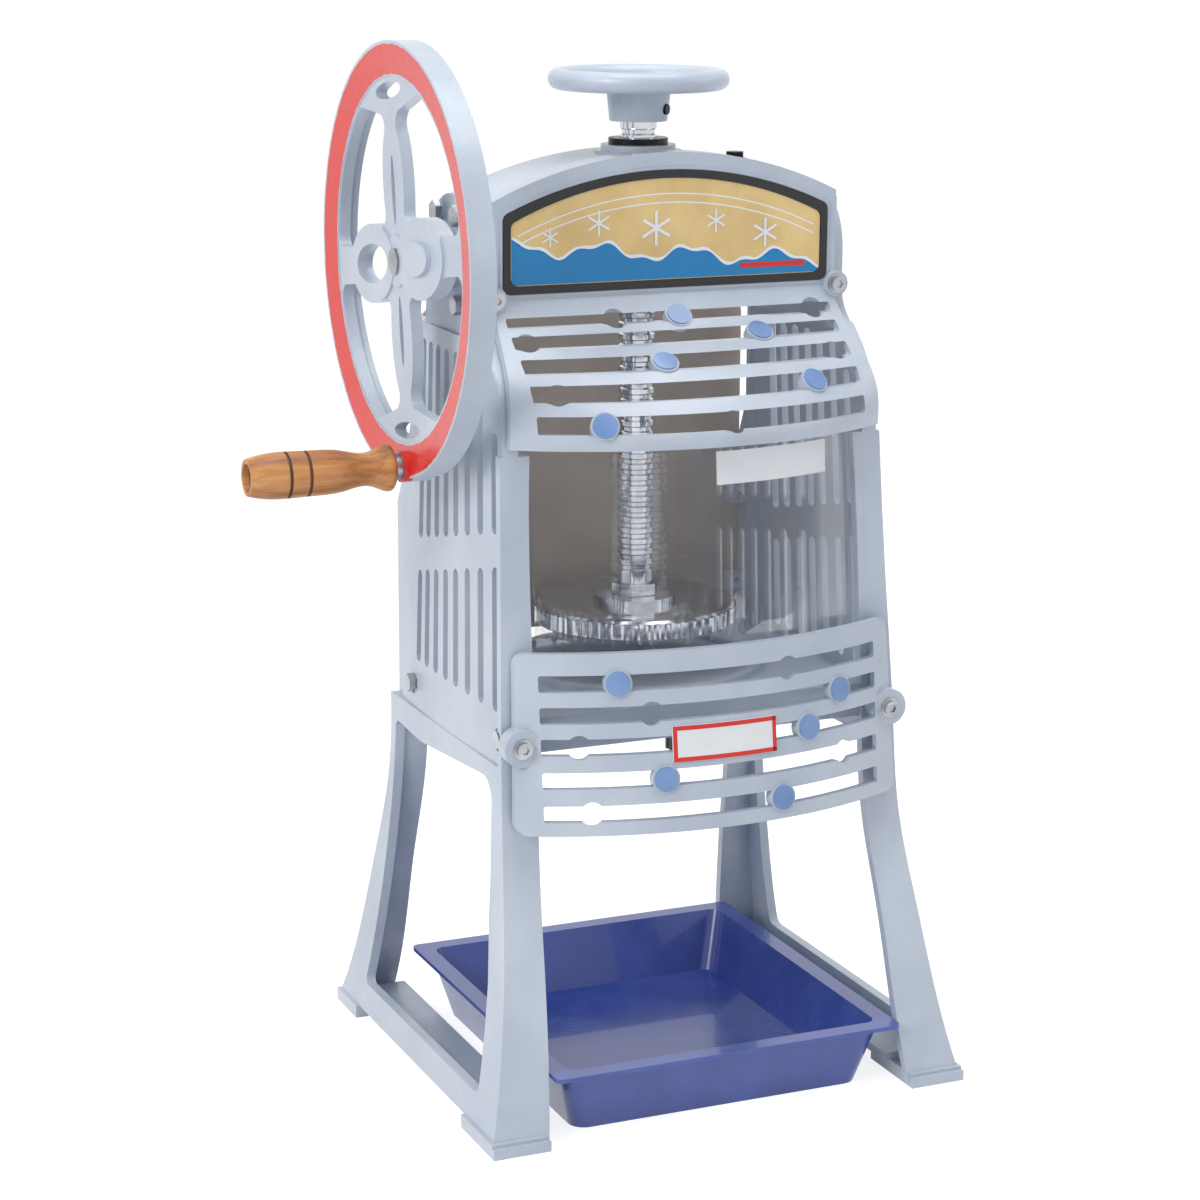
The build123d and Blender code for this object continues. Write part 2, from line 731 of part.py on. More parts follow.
with BuildPart() as hood:
    for rise, half, edge, middle, wall in apron:
        with BuildSketch(Plane.XY.offset(axle_height + rise)):
            bowed(half, edge, middle, wall)
    loft()
    with BuildSketch(Plane.XZ.offset(-label_back)):
        arched(cheek_outside, apron_base, axle_height + hood_shoulder, axle_height + hood_crown)
    extrude(amount=label_wall)
    with BuildSketch(Plane.XZ.offset(-lip_back)):
        arched(cheek_outside, hood_bolt_z, axle_height + hood_shoulder, axle_height + hood_crown)
        with BuildSketch(mode=Mode.PRIVATE) as inside:
            inner_half = cheek_outside - cheek_wall
            low = hood_bolt_z - lug_half
            arched(inner_half, low, axle_height + hood_shoulder - lip_wall, axle_height + hood_crown - lip_wall)
        add(inside.sketch, mode=Mode.SUBTRACT)
    extrude(amount=lip_depth - label_wall)
    for side in (-1, 1):
        cheek = sorted((side * (cheek_outside - cheek_wall), side * cheek_outside))
        low = (cheek[0], label_back, hood_bolt_z - lug_half)
        block(low, (cheek[1], lug_back, hood_bolt_z + lug_half))
    bolt_hole = hood_bolt_radius + hole_gap
    rod((-hood_half, hood_bolt_y, hood_bolt_z), (hood_half, hood_bolt_y, hood_bolt_z), bolt_hole, mode=Mode.SUBTRACT)
    axle_start = (-hood_half, 0, axle_height)
    rod(axle_start, (hood_half, 0, axle_height), boss_radius + move_gap, mode=Mode.SUBTRACT)
    with BuildSketch(Plane.XZ.offset(-label_front)) as bead:
        label_outline(-gasket_bead)
        fillet(bead.vertices(), gasket_corner)
        with BuildSketch(mode=Mode.PRIVATE) as inside:
            label_outline(-seat_gap)
            fillet(inside.vertices(), gasket_corner)
        add(inside.sketch, mode=Mode.SUBTRACT)
    extrude(amount=gasket_bead_rise)
    for side in (-1, 1):
        x = side * hood_screw_at
        front = (x, hood_screw_front, hood_screw_z)
        back = (x, label_back, hood_screw_z)
        seat_end = (x, label_back + hood_screw_length + move_gap, hood_screw_z)
        rod(back, seat_end, hood_screw_seat + move_gap, mode=Mode.SUBTRACT)
        rod(front, back, hood_screw_boss)
        rod(front, back, hood_screw_radius + hole_gap, mode=Mode.SUBTRACT)
    for row, height in enumerate(apron_slots):
        slot_through(apron_slot_half, axle_height + apron[row + 1][0], height)
    for row, x in apron_holes:
        point, way = apron_spot(row, x)
        rod(point - way * 2 * hole_radius, point + way * 2 * hole_radius, hole_radius, mode=Mode.SUBTRACT)
    for row, x in apron_spots:
        point, way = apron_spot(row, x)
        rod(point - way * label_wall, point + way * spot_rise, spot_radius)
hood.part.label = "hood"
export_step(hood.part, "parts/hood.step")


with BuildPart() as label_gasket:
    with BuildSketch(Plane.XZ.offset(-label_front + press_gap)) as rim:
        label_outline(0)
        fillet(rim.vertices(), gasket_corner)
        with BuildSketch(mode=Mode.PRIVATE) as inside:
            label_outline(gasket_width)
            fillet(inside.vertices(), gasket_corner)
        add(inside.sketch, mode=Mode.SUBTRACT)
    extrude(amount=gasket_wall)
label_gasket.part.label = "label_gasket"
export_step(label_gasket.part, "parts/label_gasket.step")

with BuildPart() as label_panel:
    with BuildSketch(Plane.XZ.offset(-label_front + press_gap)) as face:
        label_outline(gasket_width + seat_gap)
        fillet(face.vertices(), gasket_corner)
    extrude(amount=label_panel_wall)
label_panel.part.label = "label_panel"
export_step(label_panel.part, "parts/label_panel.step")

# ---------------------------------------------------------------- lower grille
grille_reach = grille_screw_at + grille_ear_radius


def grille_sheet(stand_off, wall):
    """Bowed, leaning sheet along the lower grille's front."""
    with BuildPart() as piece:
        for z in (grille_base, grille_top):
            middle = grille_front_at(0, z) - stand_off
            edge = grille_front_at(grille_reach, z) - stand_off
            with BuildSketch(Plane.XY.offset(z)):
                bowed(grille_reach, edge, middle, wall)
        loft(ruled=True)
    return piece.part


with BuildPart() as lower_grille:
    add(grille_sheet(0, grille_wall))
    with BuildSketch(Plane.XZ):
        with BuildLine():
            FilletPolyline(
                (-grille_half_base, grille_base),
                (grille_half_base, grille_base),
                (grille_half_top, grille_top),
                (-grille_half_top, grille_top),
                radius=grille_corner,
                close=True,
            )
        make_face()
    extrude(amount=frame_depth, both=True, mode=Mode.INTERSECT)
    for z in grille_slots:
        slot_through(grille_slot_half, z, grille_slot_height)
    for z, x in grille_holes:
        point, way = grille_spot(x, z)
        rod(point - way * 2 * hole_radius, point + way * 2 * hole_radius, hole_radius, mode=Mode.SUBTRACT)
    for z, x in grille_spots:
        point, way = grille_spot(x, z)
        rod(point - way * grille_wall, point + way * spot_rise, spot_radius)
    for side in (-1, 1):
        ear_x = side * grille_screw_at
        front = (ear_x, grille_ear_front, grille_middle)
        back = (ear_x, grille_ear_back, grille_middle)
        rod(front, back, grille_ear_radius)
        rod(front, back, grille_screw_radius + hole_gap, mode=Mode.SUBTRACT)
lower_grille.part.label = "lower_grille"
export_step(lower_grille.part, "parts/lower_grille.step")

plate_stand = plate_wall + seat_gap
with BuildPart() as grille_plate:
    add(grille_sheet(plate_stand, plate_wall))
    with BuildSketch(Plane.XZ):
        with Locations(((plate_left + plate_right) / 2, grille_middle)):
            Rectangle(plate_right - plate_left, plate_height)
    extrude(amount=frame_depth, both=True, mode=Mode.INTERSECT)
grille_plate.part.label = "grille_plate"
export_step(grille_plate.part, "parts/grille_plate.step")

with BuildPart() as accent_discs:
    spots = [apron_spot(row, x) for row, x in apron_spots]
    spots += [grille_spot(x, z) for z, x in grille_spots]
    for point, way in spots:
        base = point + way * spot_rise
        rod(base, base + way * spot_disc_wall, spot_disc_radius)
accent_discs.part.label = "accent_discs"
export_step(accent_discs.part, "parts/accent_discs.step")

# ---------------------------------------------------------------- window and rear cover
with BuildPart() as front_window:
    for z in (window_base, window_top):
        edge = at_height(front_line, z) + window_wall
        with BuildSketch(Plane.XY.offset(z)):
            bowed(window_half, edge, edge - window_bulge, window_wall)
    loft(ruled=True)
front_window.part.label = "front_window"
export_step(front_window.part, "parts/front_window.step")

cover_half = wing_inside - move_gap
cover_back = cover_face + cover_wall
with BuildPart() as rear_cover:
    with BuildSketch(Plane.XZ.offset(-cover_back)):
        with Locations((0, (cover_base + cover_top) / 2)):
            RectangleRounded(2 * cover_half, cover_top - cover_base, cover_corner)
    extrude(amount=cover_wall)
    for side in (-1, 1):
        for z in cover_screws_z:
            x = side * (wing_inside - cover_lug / 2)
            rod((x, cover_face, z), (x, cover_back, z), cover_screw_radius + hole_gap, mode=Mode.SUBTRACT)
rear_cover.part.label = "rear_cover"
export_step(rear_cover.part, "parts/rear_cover.step")

# ---------------------------------------------------------------- blade table
table_half = wing_inside - seat_gap
table_base = table_top - table_wall
rim_top = table_top + table_rim_rise
chute_start = blade_start - move_gap
chute_end = blade_start + blade_length + move_gap
bracket_base = table_base - bracket_drop + table_wall
bracket_top = bracket_base + bracket_wall
bracket_front = chute_front
bracket_back = blade_edge_y - blade_bevel
notch_x = at_height(inner_line, table_base) - seat_gap
notch_y = at_height(front_line, rim_top) + flange_wall + seat_gap
with BuildPart() as blade_table:
    block((-table_half, table_front, table_base), (table_half, table_rear, table_top))
    rod((0, 0, table_top), (0, 0, rim_top), table_rim_radius)
    rim_inside = table_rim_radius - table_rim_wall
    rod((0, 0, table_top), (0, 0, rim_top), rim_inside, mode=Mode.SUBTRACT)
    low = (chute_start, chute_front, table_base)
    block(low, (chute_end, chute_rear, table_top), mode=Mode.SUBTRACT)
    for side in (-1, 1):
        notch = sorted((side * notch_x, side * (table_half + 1)))
        low = (notch[0], table_front - 1, table_base)
        block(low, (notch[1], notch_y, table_top), mode=Mode.SUBTRACT)
        for y, _ in table_bolts:
            outer = (side * table_half, y, table_bolt_z)
            inner = (side * (table_half - table_bolt_bite - 2), y, table_bolt_z)
            rod(inner, outer, table_bolt_radius + hole_gap, mode=Mode.SUBTRACT)
    for leg in (chute_start - bracket_reach, chute_end):
        block((leg, bracket_front, bracket_base), (leg + bracket_reach, bracket_back, table_base))
    low = (chute_start - bracket_reach, bracket_front, bracket_base)
    block(low, (chute_end + bracket_reach, bracket_back, bracket_top))
    setting_axis = (setting_screw_at, setting_screw_y)
    setting_bore = setting_screw_radius + run_gap
    rod((*setting_axis, bracket_base), (*setting_axis, bracket_top), setting_bore, mode=Mode.SUBTRACT)
blade_table.part.label = "blade_table"
export_step(blade_table.part, "parts/blade_table.step")

# ---------------------------------------------------------------- blade unit
blade_angle = radians(blade_slope)
along_blade = Vector(cos(blade_angle), sin(blade_angle))
under_blade = Vector(sin(blade_angle), -cos(blade_angle))
edge_point = Vector(blade_edge_y, table_top + blade_edge_rise)
back_point = edge_point - along_blade * blade_width
edge_under = edge_point - along_blade * blade_bevel + under_blade * blade_wall
back_under = back_point + under_blade * blade_wall
holder_base = table_top - holder_height
blade_screws_x = [blade_start + blade_length / 4, blade_start + blade_length * 3 / 4]
blade_middle = edge_point - along_blade * (blade_width * 0.6)


def blade_screw(radius, start, end, mode=Mode.ADD):
    """Round bars across the blade, at its two screws."""
    for x in blade_screws_x:
        from_point = blade_middle - under_blade * start
        to_point = blade_middle + under_blade * end
        rod((x, from_point.X, from_point.Y), (x, to_point.X, to_point.Y), radius, mode=mode)


with BuildPart() as blade_holder:
    with BuildSketch(Plane.YZ.offset(blade_start)):
        with BuildLine():
            drop = Vector(0, -seat_gap / 4)
            front_y = chute_front + move_gap
            front_top = back_under.Y + (front_y - back_under.X) * along_blade.Y / along_blade.X
            Polyline(
                (front_y, front_top + drop.Y),
                edge_under + drop,
                (edge_under.X, holder_base),
                (front_y, holder_base),
                close=True,
            )
        make_face()
    extrude(amount=blade_length)
    blade_screw(blade_screw_radius + hole_gap, 0, 3 * blade_wall, mode=Mode.SUBTRACT)
    setting_tip = holder_base + holder_height * 0.3
    rod((*setting_axis, holder_base), (*setting_axis, setting_tip), setting_bore, mode=Mode.SUBTRACT)
blade_holder.part.label = "blade_holder"
export_step(blade_holder.part, "parts/blade_holder.step")

with BuildPart() as blade:
    with BuildSketch(Plane.YZ.offset(blade_start)):
        with BuildLine():
            Polyline(back_point, edge_point, edge_under, back_under, close=True)
        make_face()
    extrude(amount=blade_length)
    blade_screw(blade_screw_radius + hole_gap, blade_wall, 2 * blade_wall, mode=Mode.SUBTRACT)
blade.part.label = "blade"
export_step(blade.part, "parts/blade.step")

with BuildPart() as blade_screws:
    blade_screw(blade_screw_radius, press_gap, 2.6 * blade_wall)
    blade_screw(blade_screw_head, blade_wall / 2, -press_gap)
blade_screws.part.label = "blade_screws"
export_step(blade_screws.part, "parts/blade_screws.step")

knob_top = bracket_base - move_gap
with BuildPart() as adjusting_knob:
    rod((*setting_axis, knob_top - knob_height), (*setting_axis, knob_top), knob_radius)
    with BuildSketch(Plane(origin=(*setting_axis, knob_top - knob_height))):
        with PolarLocations(knob_radius + 1, knob_grips):
            Circle(knob_grip_radius)
    extrude(amount=knob_height, mode=Mode.SUBTRACT)
    screw_hole = setting_screw_radius + press_gap
    rod((*setting_axis, knob_top - knob_height), (*setting_axis, knob_top), screw_hole, mode=Mode.SUBTRACT)
adjusting_knob.part.label = "adjusting_knob"
export_step(adjusting_knob.part, "parts/adjusting_knob.step")

with BuildPart() as adjusting_screw:
    rod((*setting_axis, knob_top - knob_height), (*setting_axis, setting_tip - move_gap), setting_screw_radius)
adjusting_screw.part.label = "adjusting_screw"
export_step(adjusting_screw.part, "parts/adjusting_screw.step")

# ---------------------------------------------------------------- top bridge
bridge_half = wing_inside - seat_gap
bridge_low = axle_height + bridge_underside
bridge_top = axle_height + bridge_crown
bridge_shoulder = bridge_low + bridge_spring
boss_top = axle_height + bridge_boss_top
hub_bore = screw_radius + nut_gap
gear_bush_bore = gear_hub_radius + run_gap
gear_bush_outside = gear_bush_bore + gear_bush_wall
roof_seat = axle_height + roof_bolt_seat
with BuildPart() as top_bridge:
    with BuildSketch(Plane.XZ.offset(-bridge_rear)):
        arched(bridge_half, bridge_low, bridge_shoulder, bridge_top)
    extrude(amount=bridge_rear - bridge_front)
    with BuildSketch(Plane.XZ.offset(-bridge_rear + bridge_skin)):
        inner_half = bridge_half - bridge_flange_wall
        arched(inner_half, bridge_low - 1, bridge_low + bridge_hollow_spring, bridge_top - bridge_skin)
        with Locations((0, bridge_top)):
            Rectangle(2 * (bridge_boss_radius + bridge_skin), 4 * bridge_crown, mode=Mode.SUBTRACT)
    extrude(amount=bridge_rear - bridge_front - 2 * bridge_skin, mode=Mode.SUBTRACT)
    for side in (-1, 1):
        flange_x = sorted((side * (bridge_half - bridge_flange_wall), side * bridge_half))
        low = (flange_x[0], bridge_front, axle_height + bridge_flange_drop)
        block(low, (flange_x[1], bridge_rear, bridge_shoulder))
        for y in bridge_bolts_y:
            inner = (side * (bridge_half - 2 * bridge_flange_wall), y, bridge_bolt_z)
            outer = (side * bridge_half, y, bridge_bolt_z)
            rod(inner, outer, bridge_bolt_radius + hole_gap, mode=Mode.SUBTRACT)
    roof_place = (roof_bolt_at, roof_bolt_y)
    rod((*roof_place, bridge_low + bridge_skin), (*roof_place, roof_seat), roof_bolt_boss)
    rod((*roof_place, bridge_low), (*roof_place, roof_seat), roof_bolt_radius + hole_gap, mode=Mode.SUBTRACT)
    rod((0, 0, bridge_low), (0, 0, bridge_top), bridge_boss_radius)
    rod((0, 0, bridge_low), (0, 0, boss_top), bridge_neck_radius)
    rod((0, 0, bridge_low), (0, 0, boss_top), gear_bush_outside + press_gap, mode=Mode.SUBTRACT)
top_bridge.part.label = "top_bridge"
export_step(top_bridge.part, "parts/top_bridge.step")

with BuildPart() as gear_bush:
    tube((0, 0, bridge_low), (0, 0, boss_top), gear_bush_outside, gear_bush_bore)
gear_bush.part.label = "gear_bush"
export_step(gear_bush.part, "parts/gear_bush.step")

# ---------------------------------------------------------------- bevel gears and shaft
gear_face = axle_height + gear_top
crank_axis = Axis((0, 0, axle_height), (1, 0, 0))
gear_root = pinion_mean + tooth_root
pinion_root = pinion_mean - tooth_root
collar_base = boss_top + move_gap
hub_top = collar_base + collar_height


def cone_scale(reach):
    """Size of a tooth at a distance from the cones' tip, against its middle size."""
    return reach / gear_mean


def bevel_tooth(side, root, tip):
    """One straight bevel tooth, pointing away from or towards the crank axis."""
    profile = [(tooth_half_root, root), (tooth_half_pitch, pinion_mean), (tooth_half_tip, tip)]
    with BuildPart() as piece:
        for reach in (tooth_inner, tooth_outer):
            scale = cone_scale(reach)
            right = [(half * scale, axle_height + height * scale) for half, height in profile]
            left = [(-across, up) for across, up in reversed(right)]
            with BuildSketch(Plane.YZ.offset(side * reach)):
                with BuildLine():
                    Polyline(*right, *left, close=True)
                make_face()
        loft(ruled=True)
    return piece.part


with BuildPart() as drive_gear:
    with BuildSketch(Plane.XZ):
        with BuildLine():
            Polyline(
                (hub_bore, axle_height + gear_neck_base),
                (gear_hub_radius, axle_height + gear_neck_base),
                (tooth_inner, axle_height + gear_root * cone_scale(tooth_inner)),
                (tooth_outer, axle_height + gear_root * cone_scale(tooth_outer)),
                (tooth_outer, gear_face),
                (gear_hub_radius, gear_face),
                (gear_hub_radius, hub_top),
                (hub_bore, hub_top),
                close=True,
            )
        make_face()
    revolve(axis=Axis.Z)
    gear_tooth = bevel_tooth(1, gear_root + tooth_bite, pinion_mean - tooth_tip)
    gear_step = 360 / gear_teeth
    add([gear_tooth.rotate(Axis.Z, (turn + 0.5) * gear_step) for turn in range(gear_teeth)])
drive_gear.part.label = "drive_gear"
export_step(drive_gear.part, "parts/drive_gear.step")

with BuildPart() as gear_collar:
    collar_bore = gear_hub_radius + press_gap
    tube((0, 0, collar_base), (0, 0, hub_top), gear_hub_radius + collar_wall, collar_bore)
gear_collar.part.label = "gear_collar"
export_step(gear_collar.part, "parts/gear_collar.step")

with BuildPart() as thrust_washer:
    washer_base = (0, 0, gear_face + seat_gap)
    tube(washer_base, (0, 0, bridge_low), thrust_washer_radius, gear_hub_radius + move_gap)
thrust_washer.part.label = "thrust_washer"
export_step(thrust_washer.part, "parts/thrust_washer.step")

shaft_hole = shaft_radius + press_gap
with BuildPart() as pinion:
    with BuildSketch(Plane.XZ):
        with BuildLine():
            Polyline(
                (-tooth_inner, axle_height + shaft_hole),
                (-tooth_inner, axle_height + pinion_root * cone_scale(tooth_inner)),
                (-tooth_outer, axle_height + pinion_root * cone_scale(tooth_outer)),
                (-tooth_outer, axle_height + pinion_hub_radius),
                (-pinion_hub_end, axle_height + pinion_hub_radius),
                (-pinion_hub_end, axle_height + shaft_hole),
                close=True,
            )
        make_face()
    revolve(axis=crank_axis)
    pinion_tooth = bevel_tooth(-1, pinion_root - tooth_bite, pinion_mean + tooth_tip)
    pinion_step = 360 / pinion_teeth
    add([pinion_tooth.rotate(crank_axis, turn * pinion_step) for turn in range(pinion_teeth)])
    pin_x = -(tooth_outer + pinion_hub_end) / 2
    pin_low = (pin_x, 0, axle_height - pinion_hub_radius)
    pin_high = (pin_x, 0, axle_height + pinion_hub_radius)
    rod(pin_low, pin_high, pinion_pin_radius + press_gap, mode=Mode.SUBTRACT)
pinion.part.label = "pinion"
export_step(pinion.part, "parts/pinion.step")

with BuildPart() as pinion_pin:
    rod(pin_low, pin_high, pinion_pin_radius)
pinion_pin.part.label = "pinion_pin"
export_step(pinion_pin.part, "parts/pinion_pin.step")

with BuildPart() as crank_shaft:
    rod((-wheel_face, 0, axle_height), (-shaft_tip, 0, axle_height), shaft_radius)
    rod(pin_low, pin_high, pinion_pin_radius + press_gap, mode=Mode.SUBTRACT)
crank_shaft.part.label = "crank_shaft"
export_step(crank_shaft.part, "parts/crank_shaft.step")

# ---------------------------------------------------------------- flywheel
crank_angle = radians(270 - crank_lead)
crank_y = crank_radius * cos(crank_angle)
crank_z = axle_height + crank_radius * sin(crank_angle)
pin_hole = pin_radius + press_gap


def web_windows():
    """The four rounded windows of the flywheel's web, with its spokes upright."""
    with BuildSketch() as windows:
        Circle(window_radius)
        with Locations((-loop_offset, 0), (loop_offset, 0)):
            Ellipse(loop_across, loop_along, mode=Mode.SUBTRACT)
        with Locations((0, -leaf_offset), (0, leaf_offset)):
            Ellipse(leaf_across, leaf_along, mode=Mode.SUBTRACT)
        Circle(wheel_hub, mode=Mode.SUBTRACT)
        arm_middle = (arm_start + wheel_rim_radius) / 2
        with Locations((-arm_middle, 0), (arm_middle, 0)):
            Rectangle(wheel_rim_radius - arm_start, 2 * arm_half, mode=Mode.SUBTRACT)
        for side in (-1, 1):
            half = [fork_stem, fork_knee, fork_tip, (fork_tip[0], wheel_rim_radius)]
            right = [(across, side * along) for across, along in half]
            left = [(-across, along) for across, along in reversed(right)]
            with BuildLine():
                Polyline(*right, *left, close=True)
            make_face(mode=Mode.SUBTRACT)
        fillet(windows.vertices(), window_round)
    return windows.sketch


lead = radians(crank_lead)
across_wheel = (0, cos(lead), -sin(lead))


def wheel_plane(face):
    """Plane across the flywheel, turned so that the lower spoke points at the crank pin."""
    return Plane(origin=(-face, 0, axle_height), x_dir=across_wheel, z_dir=(1, 0, 0))


with BuildPart() as flywheel:
    with BuildSketch(Plane.XZ):
        with BuildLine():
            rim_back = wheel_rim_depth - wheel_face
            Polyline(
                (rim_back, axle_height + wheel_rim_inside),
                (rim_back, axle_height + wheel_rim_radius),
                (-wheel_face, axle_height + wheel_rim_radius),
                (-wheel_face, axle_height + wheel_rim_radius - wheel_rim_edge),
                (wheel_dish - wheel_face, axle_height + wheel_rim_inside),
                close=True,
            )
        make_face()
    revolve(axis=crank_axis)
    with BuildSketch(wheel_plane(wheel_web_face)):
        Circle(wheel_rim_inside + 1)
        add(web_windows(), mode=Mode.SUBTRACT)
    extrude(amount=wheel_web_wall)
    with BuildSketch(wheel_plane(loop_face)):
        with Locations((-loop_offset, 0), (loop_offset, 0)):
            Ellipse(loop_across, loop_along)
    extrude(amount=loop_wall)
    with BuildSketch(wheel_plane(loop_face)):
        with Locations((-loop_offset, 0)):
            Ellipse(dome_across, dome_along)
    extrude(amount=-dome_rise)
    with BuildSketch(wheel_plane(wheel_face + 1)):
        with Locations((0, -slit_offset), (0, slit_offset)):
            Ellipse(slit_across, slit_along)
        with Locations((0, -lens_offset), (0, lens_offset)):
            Ellipse(lens_across, lens_along)
        with Locations((eye_offset, 0)):
            Ellipse(eye_across, eye_along)
    extrude(amount=wheel_face - wheel_hub_inner + 1, mode=Mode.SUBTRACT)
    rod((-wheel_hub_face, 0, axle_height), (-wheel_hub_inner, 0, axle_height), wheel_hub)
    rod((-pin_boss_face, crank_y, crank_z), (rim_back, crank_y, crank_z), pin_boss_radius)
    rod((-pin_boss_face, crank_y, crank_z), (rim_back, crank_y, crank_z), pin_hole, mode=Mode.SUBTRACT)
    rod((-wheel_face, 0, axle_height), (-wheel_hub_inner, 0, axle_height), shaft_hole, mode=Mode.SUBTRACT)
flywheel.part.label = "flywheel"
export_step(flywheel.part, "parts/flywheel.step")

# ---------------------------------------------------------------- crank pin and grip
grip_end = grip_start + grip_length
pocket_floor = grip_end - grip_pocket_depth
with BuildPart() as crank_pin:
    nut_end = pin_nut_wall + 1 + rim_back
    rod((-pocket_floor, crank_y, crank_z), (nut_end, crank_y, crank_z), pin_radius)
    head_start = -pocket_floor - move_gap
    rod((head_start - pin_head_wall, crank_y, crank_z), (head_start, crank_y, crank_z), grip_pocket_radius - 1)
    rod((head_start, crank_y, crank_z), (-pocket_floor, crank_y, crank_z), pin_radius)
crank_pin.part.label = "crank_pin"
export_step(crank_pin.part, "parts/crank_pin.step")

with BuildPart() as pin_collar:
    collar_face = pin_boss_face + pin_collar_wall
    collar_seat = -pin_boss_face - press_gap
    tube((-collar_face, crank_y, crank_z), (collar_seat, crank_y, crank_z), pin_collar_radius, pin_hole)
pin_collar.part.label = "pin_collar"
export_step(pin_collar.part, "parts/pin_collar.step")

with BuildPart() as pin_nut:
    nut_start = rim_back + press_gap
    hexagon((nut_start, crank_y, crank_z), (rim_back + pin_nut_wall, crank_y, crank_z), pin_nut_flats)
    nut_tail = (rim_back + pin_nut_wall, crank_y, crank_z)
    rod((nut_start, crank_y, crank_z), nut_tail, pin_hole, mode=Mode.SUBTRACT)
pin_nut.part.label = "pin_nut"
export_step(pin_nut.part, "parts/pin_nut.step")

grip_plane = Plane(origin=(-grip_start, crank_y, crank_z), x_dir=(-1, 0, 0), z_dir=(0, -1, 0))
with BuildPart() as grip:
    with BuildSketch(grip_plane):
        with BuildLine():
            outline = [(along, radius) for radius, along in grip_profile]
            turned = Spline(*outline)
            Polyline(turned @ 0, (0, pin_radius), (grip_length, pin_radius), turned @ 1)
        make_face()
        with Locations(*grip_grooves):
            Rectangle(groove_width, 2 * groove_depth, mode=Mode.SUBTRACT)
    revolve(axis=Axis((0, crank_y, crank_z), (1, 0, 0)))
    bore = pin_radius + run_gap
    rod((-grip_end, crank_y, crank_z), (-grip_start, crank_y, crank_z), bore, mode=Mode.SUBTRACT)
    pocket_start = (-grip_end, crank_y, crank_z)
    rod(pocket_start, (-pocket_floor, crank_y, crank_z), grip_pocket_radius, mode=Mode.SUBTRACT)
grip.part.label = "grip"
export_step(grip.part, "parts/grip.step")

# ---------------------------------------------------------------- press, feed screw and handwheel
disc_top = disc_base + disc_wall
collar_top = disc_top + disc_collar_wall
screw_tip = disc_base + 2
disc_bore = screw_radius + run_gap
with BuildPart() as press_disc:
    rod((0, 0, disc_base), (0, 0, disc_top), disc_radius)
    chamfer(press_disc.edges().filter_by(GeomType.CIRCLE), disc_chamfer)
    rod((0, 0, screw_tip - move_gap), (0, 0, disc_top), disc_bore, mode=Mode.SUBTRACT)
press_disc.part.label = "press_disc"
export_step(press_disc.part, "parts/press_disc.step")

with BuildPart() as disc_collar:
    tube((0, 0, disc_top), (0, 0, collar_top), disc_collar_radius, disc_bore)
disc_collar.part.label = "disc_collar"
export_step(disc_collar.part, "parts/disc_collar.step")

with BuildPart() as ice_spikes:
    for radius, count in spike_rings:
        with Locations((0, 0, disc_base)):
            with PolarLocations(radius, count):
                Cone(
                    spike_radius,
                    spike_radius / 8,
                    spike_length,
                    rotation=(180, 0, 0),
                    align=(Align.CENTER, Align.CENTER, Align.MIN),
                )
ice_spikes.part.label = "ice_spikes"
export_step(ice_spikes.part, "parts/ice_spikes.step")

with BuildPart() as feed_screw:
    with BuildSketch(Plane.XZ):
        with BuildLine():
            crest = screw_radius
            root = screw_radius - thread_depth
            profile = [(0, screw_tip), (crest, screw_tip)]
            for turn in range(thread_turns):
                start = thread_base + turn * thread_pitch
                profile.append((crest, start))
                for radius, share in zip((root, root, crest), thread_shares):
                    profile.append((radius, start + share * thread_pitch))
            profile += [(crest, screw_top), (0, screw_top)]
            Polyline(*profile, close=True)
        make_face()
    revolve(axis=Axis.Z)
feed_screw.part.label = "feed_screw"
export_step(feed_screw.part, "parts/feed_screw.step")

with BuildPart() as screw_nut:
    nut_base = collar_top + move_gap
    hexagon((0, 0, nut_base), (0, 0, collar_top + disc_nut_height), disc_nut_flats)
    nut_bore = screw_radius + press_gap
    rod((0, 0, nut_base), (0, 0, collar_top + disc_nut_height), nut_bore, mode=Mode.SUBTRACT)
screw_nut.part.label = "screw_nut"
export_step(screw_nut.part, "parts/screw_nut.step")

turn_angle = radians(set_screw_turn)
set_screw_z = wheel_middle - set_screw_drop
set_screw_way = Vector(cos(turn_angle), sin(turn_angle))
set_screw_axis = Vector(0, 0, set_screw_z)
set_screw_start = set_screw_way * nut_bore + set_screw_axis
set_screw_end = set_screw_way * wheel_hub_flare + set_screw_axis
with BuildPart() as handwheel:
    with BuildSketch(Plane.XZ):
        with BuildLine():
            hub_top_z = wheel_hub_base + wheel_hub_height
            plate_low = hub_top_z - wheel_plate_wall
            Polyline(
                (nut_bore, wheel_hub_base),
                (wheel_hub_radius, wheel_hub_base),
                (wheel_hub_flare, plate_low),
                (wheel_ring, plate_low + 1),
                (wheel_ring, hub_top_z + 1),
                (wheel_hub_flare, hub_top_z),
                (nut_bore, hub_top_z),
                close=True,
            )
        make_face()
        with Locations((wheel_ring, wheel_middle)):
            Circle(wheel_tube)
    revolve(axis=Axis.Z)
    rod(set_screw_axis, set_screw_end, set_screw_radius + hole_gap, mode=Mode.SUBTRACT)
handwheel.part.label = "handwheel"
export_step(handwheel.part, "parts/handwheel.step")

with BuildPart() as handwheel_set_screw:
    rod(set_screw_start, set_screw_end, set_screw_radius)
handwheel_set_screw.part.label = "handwheel_set_screw"
export_step(handwheel_set_screw.part, "parts/handwheel_set_screw.step")


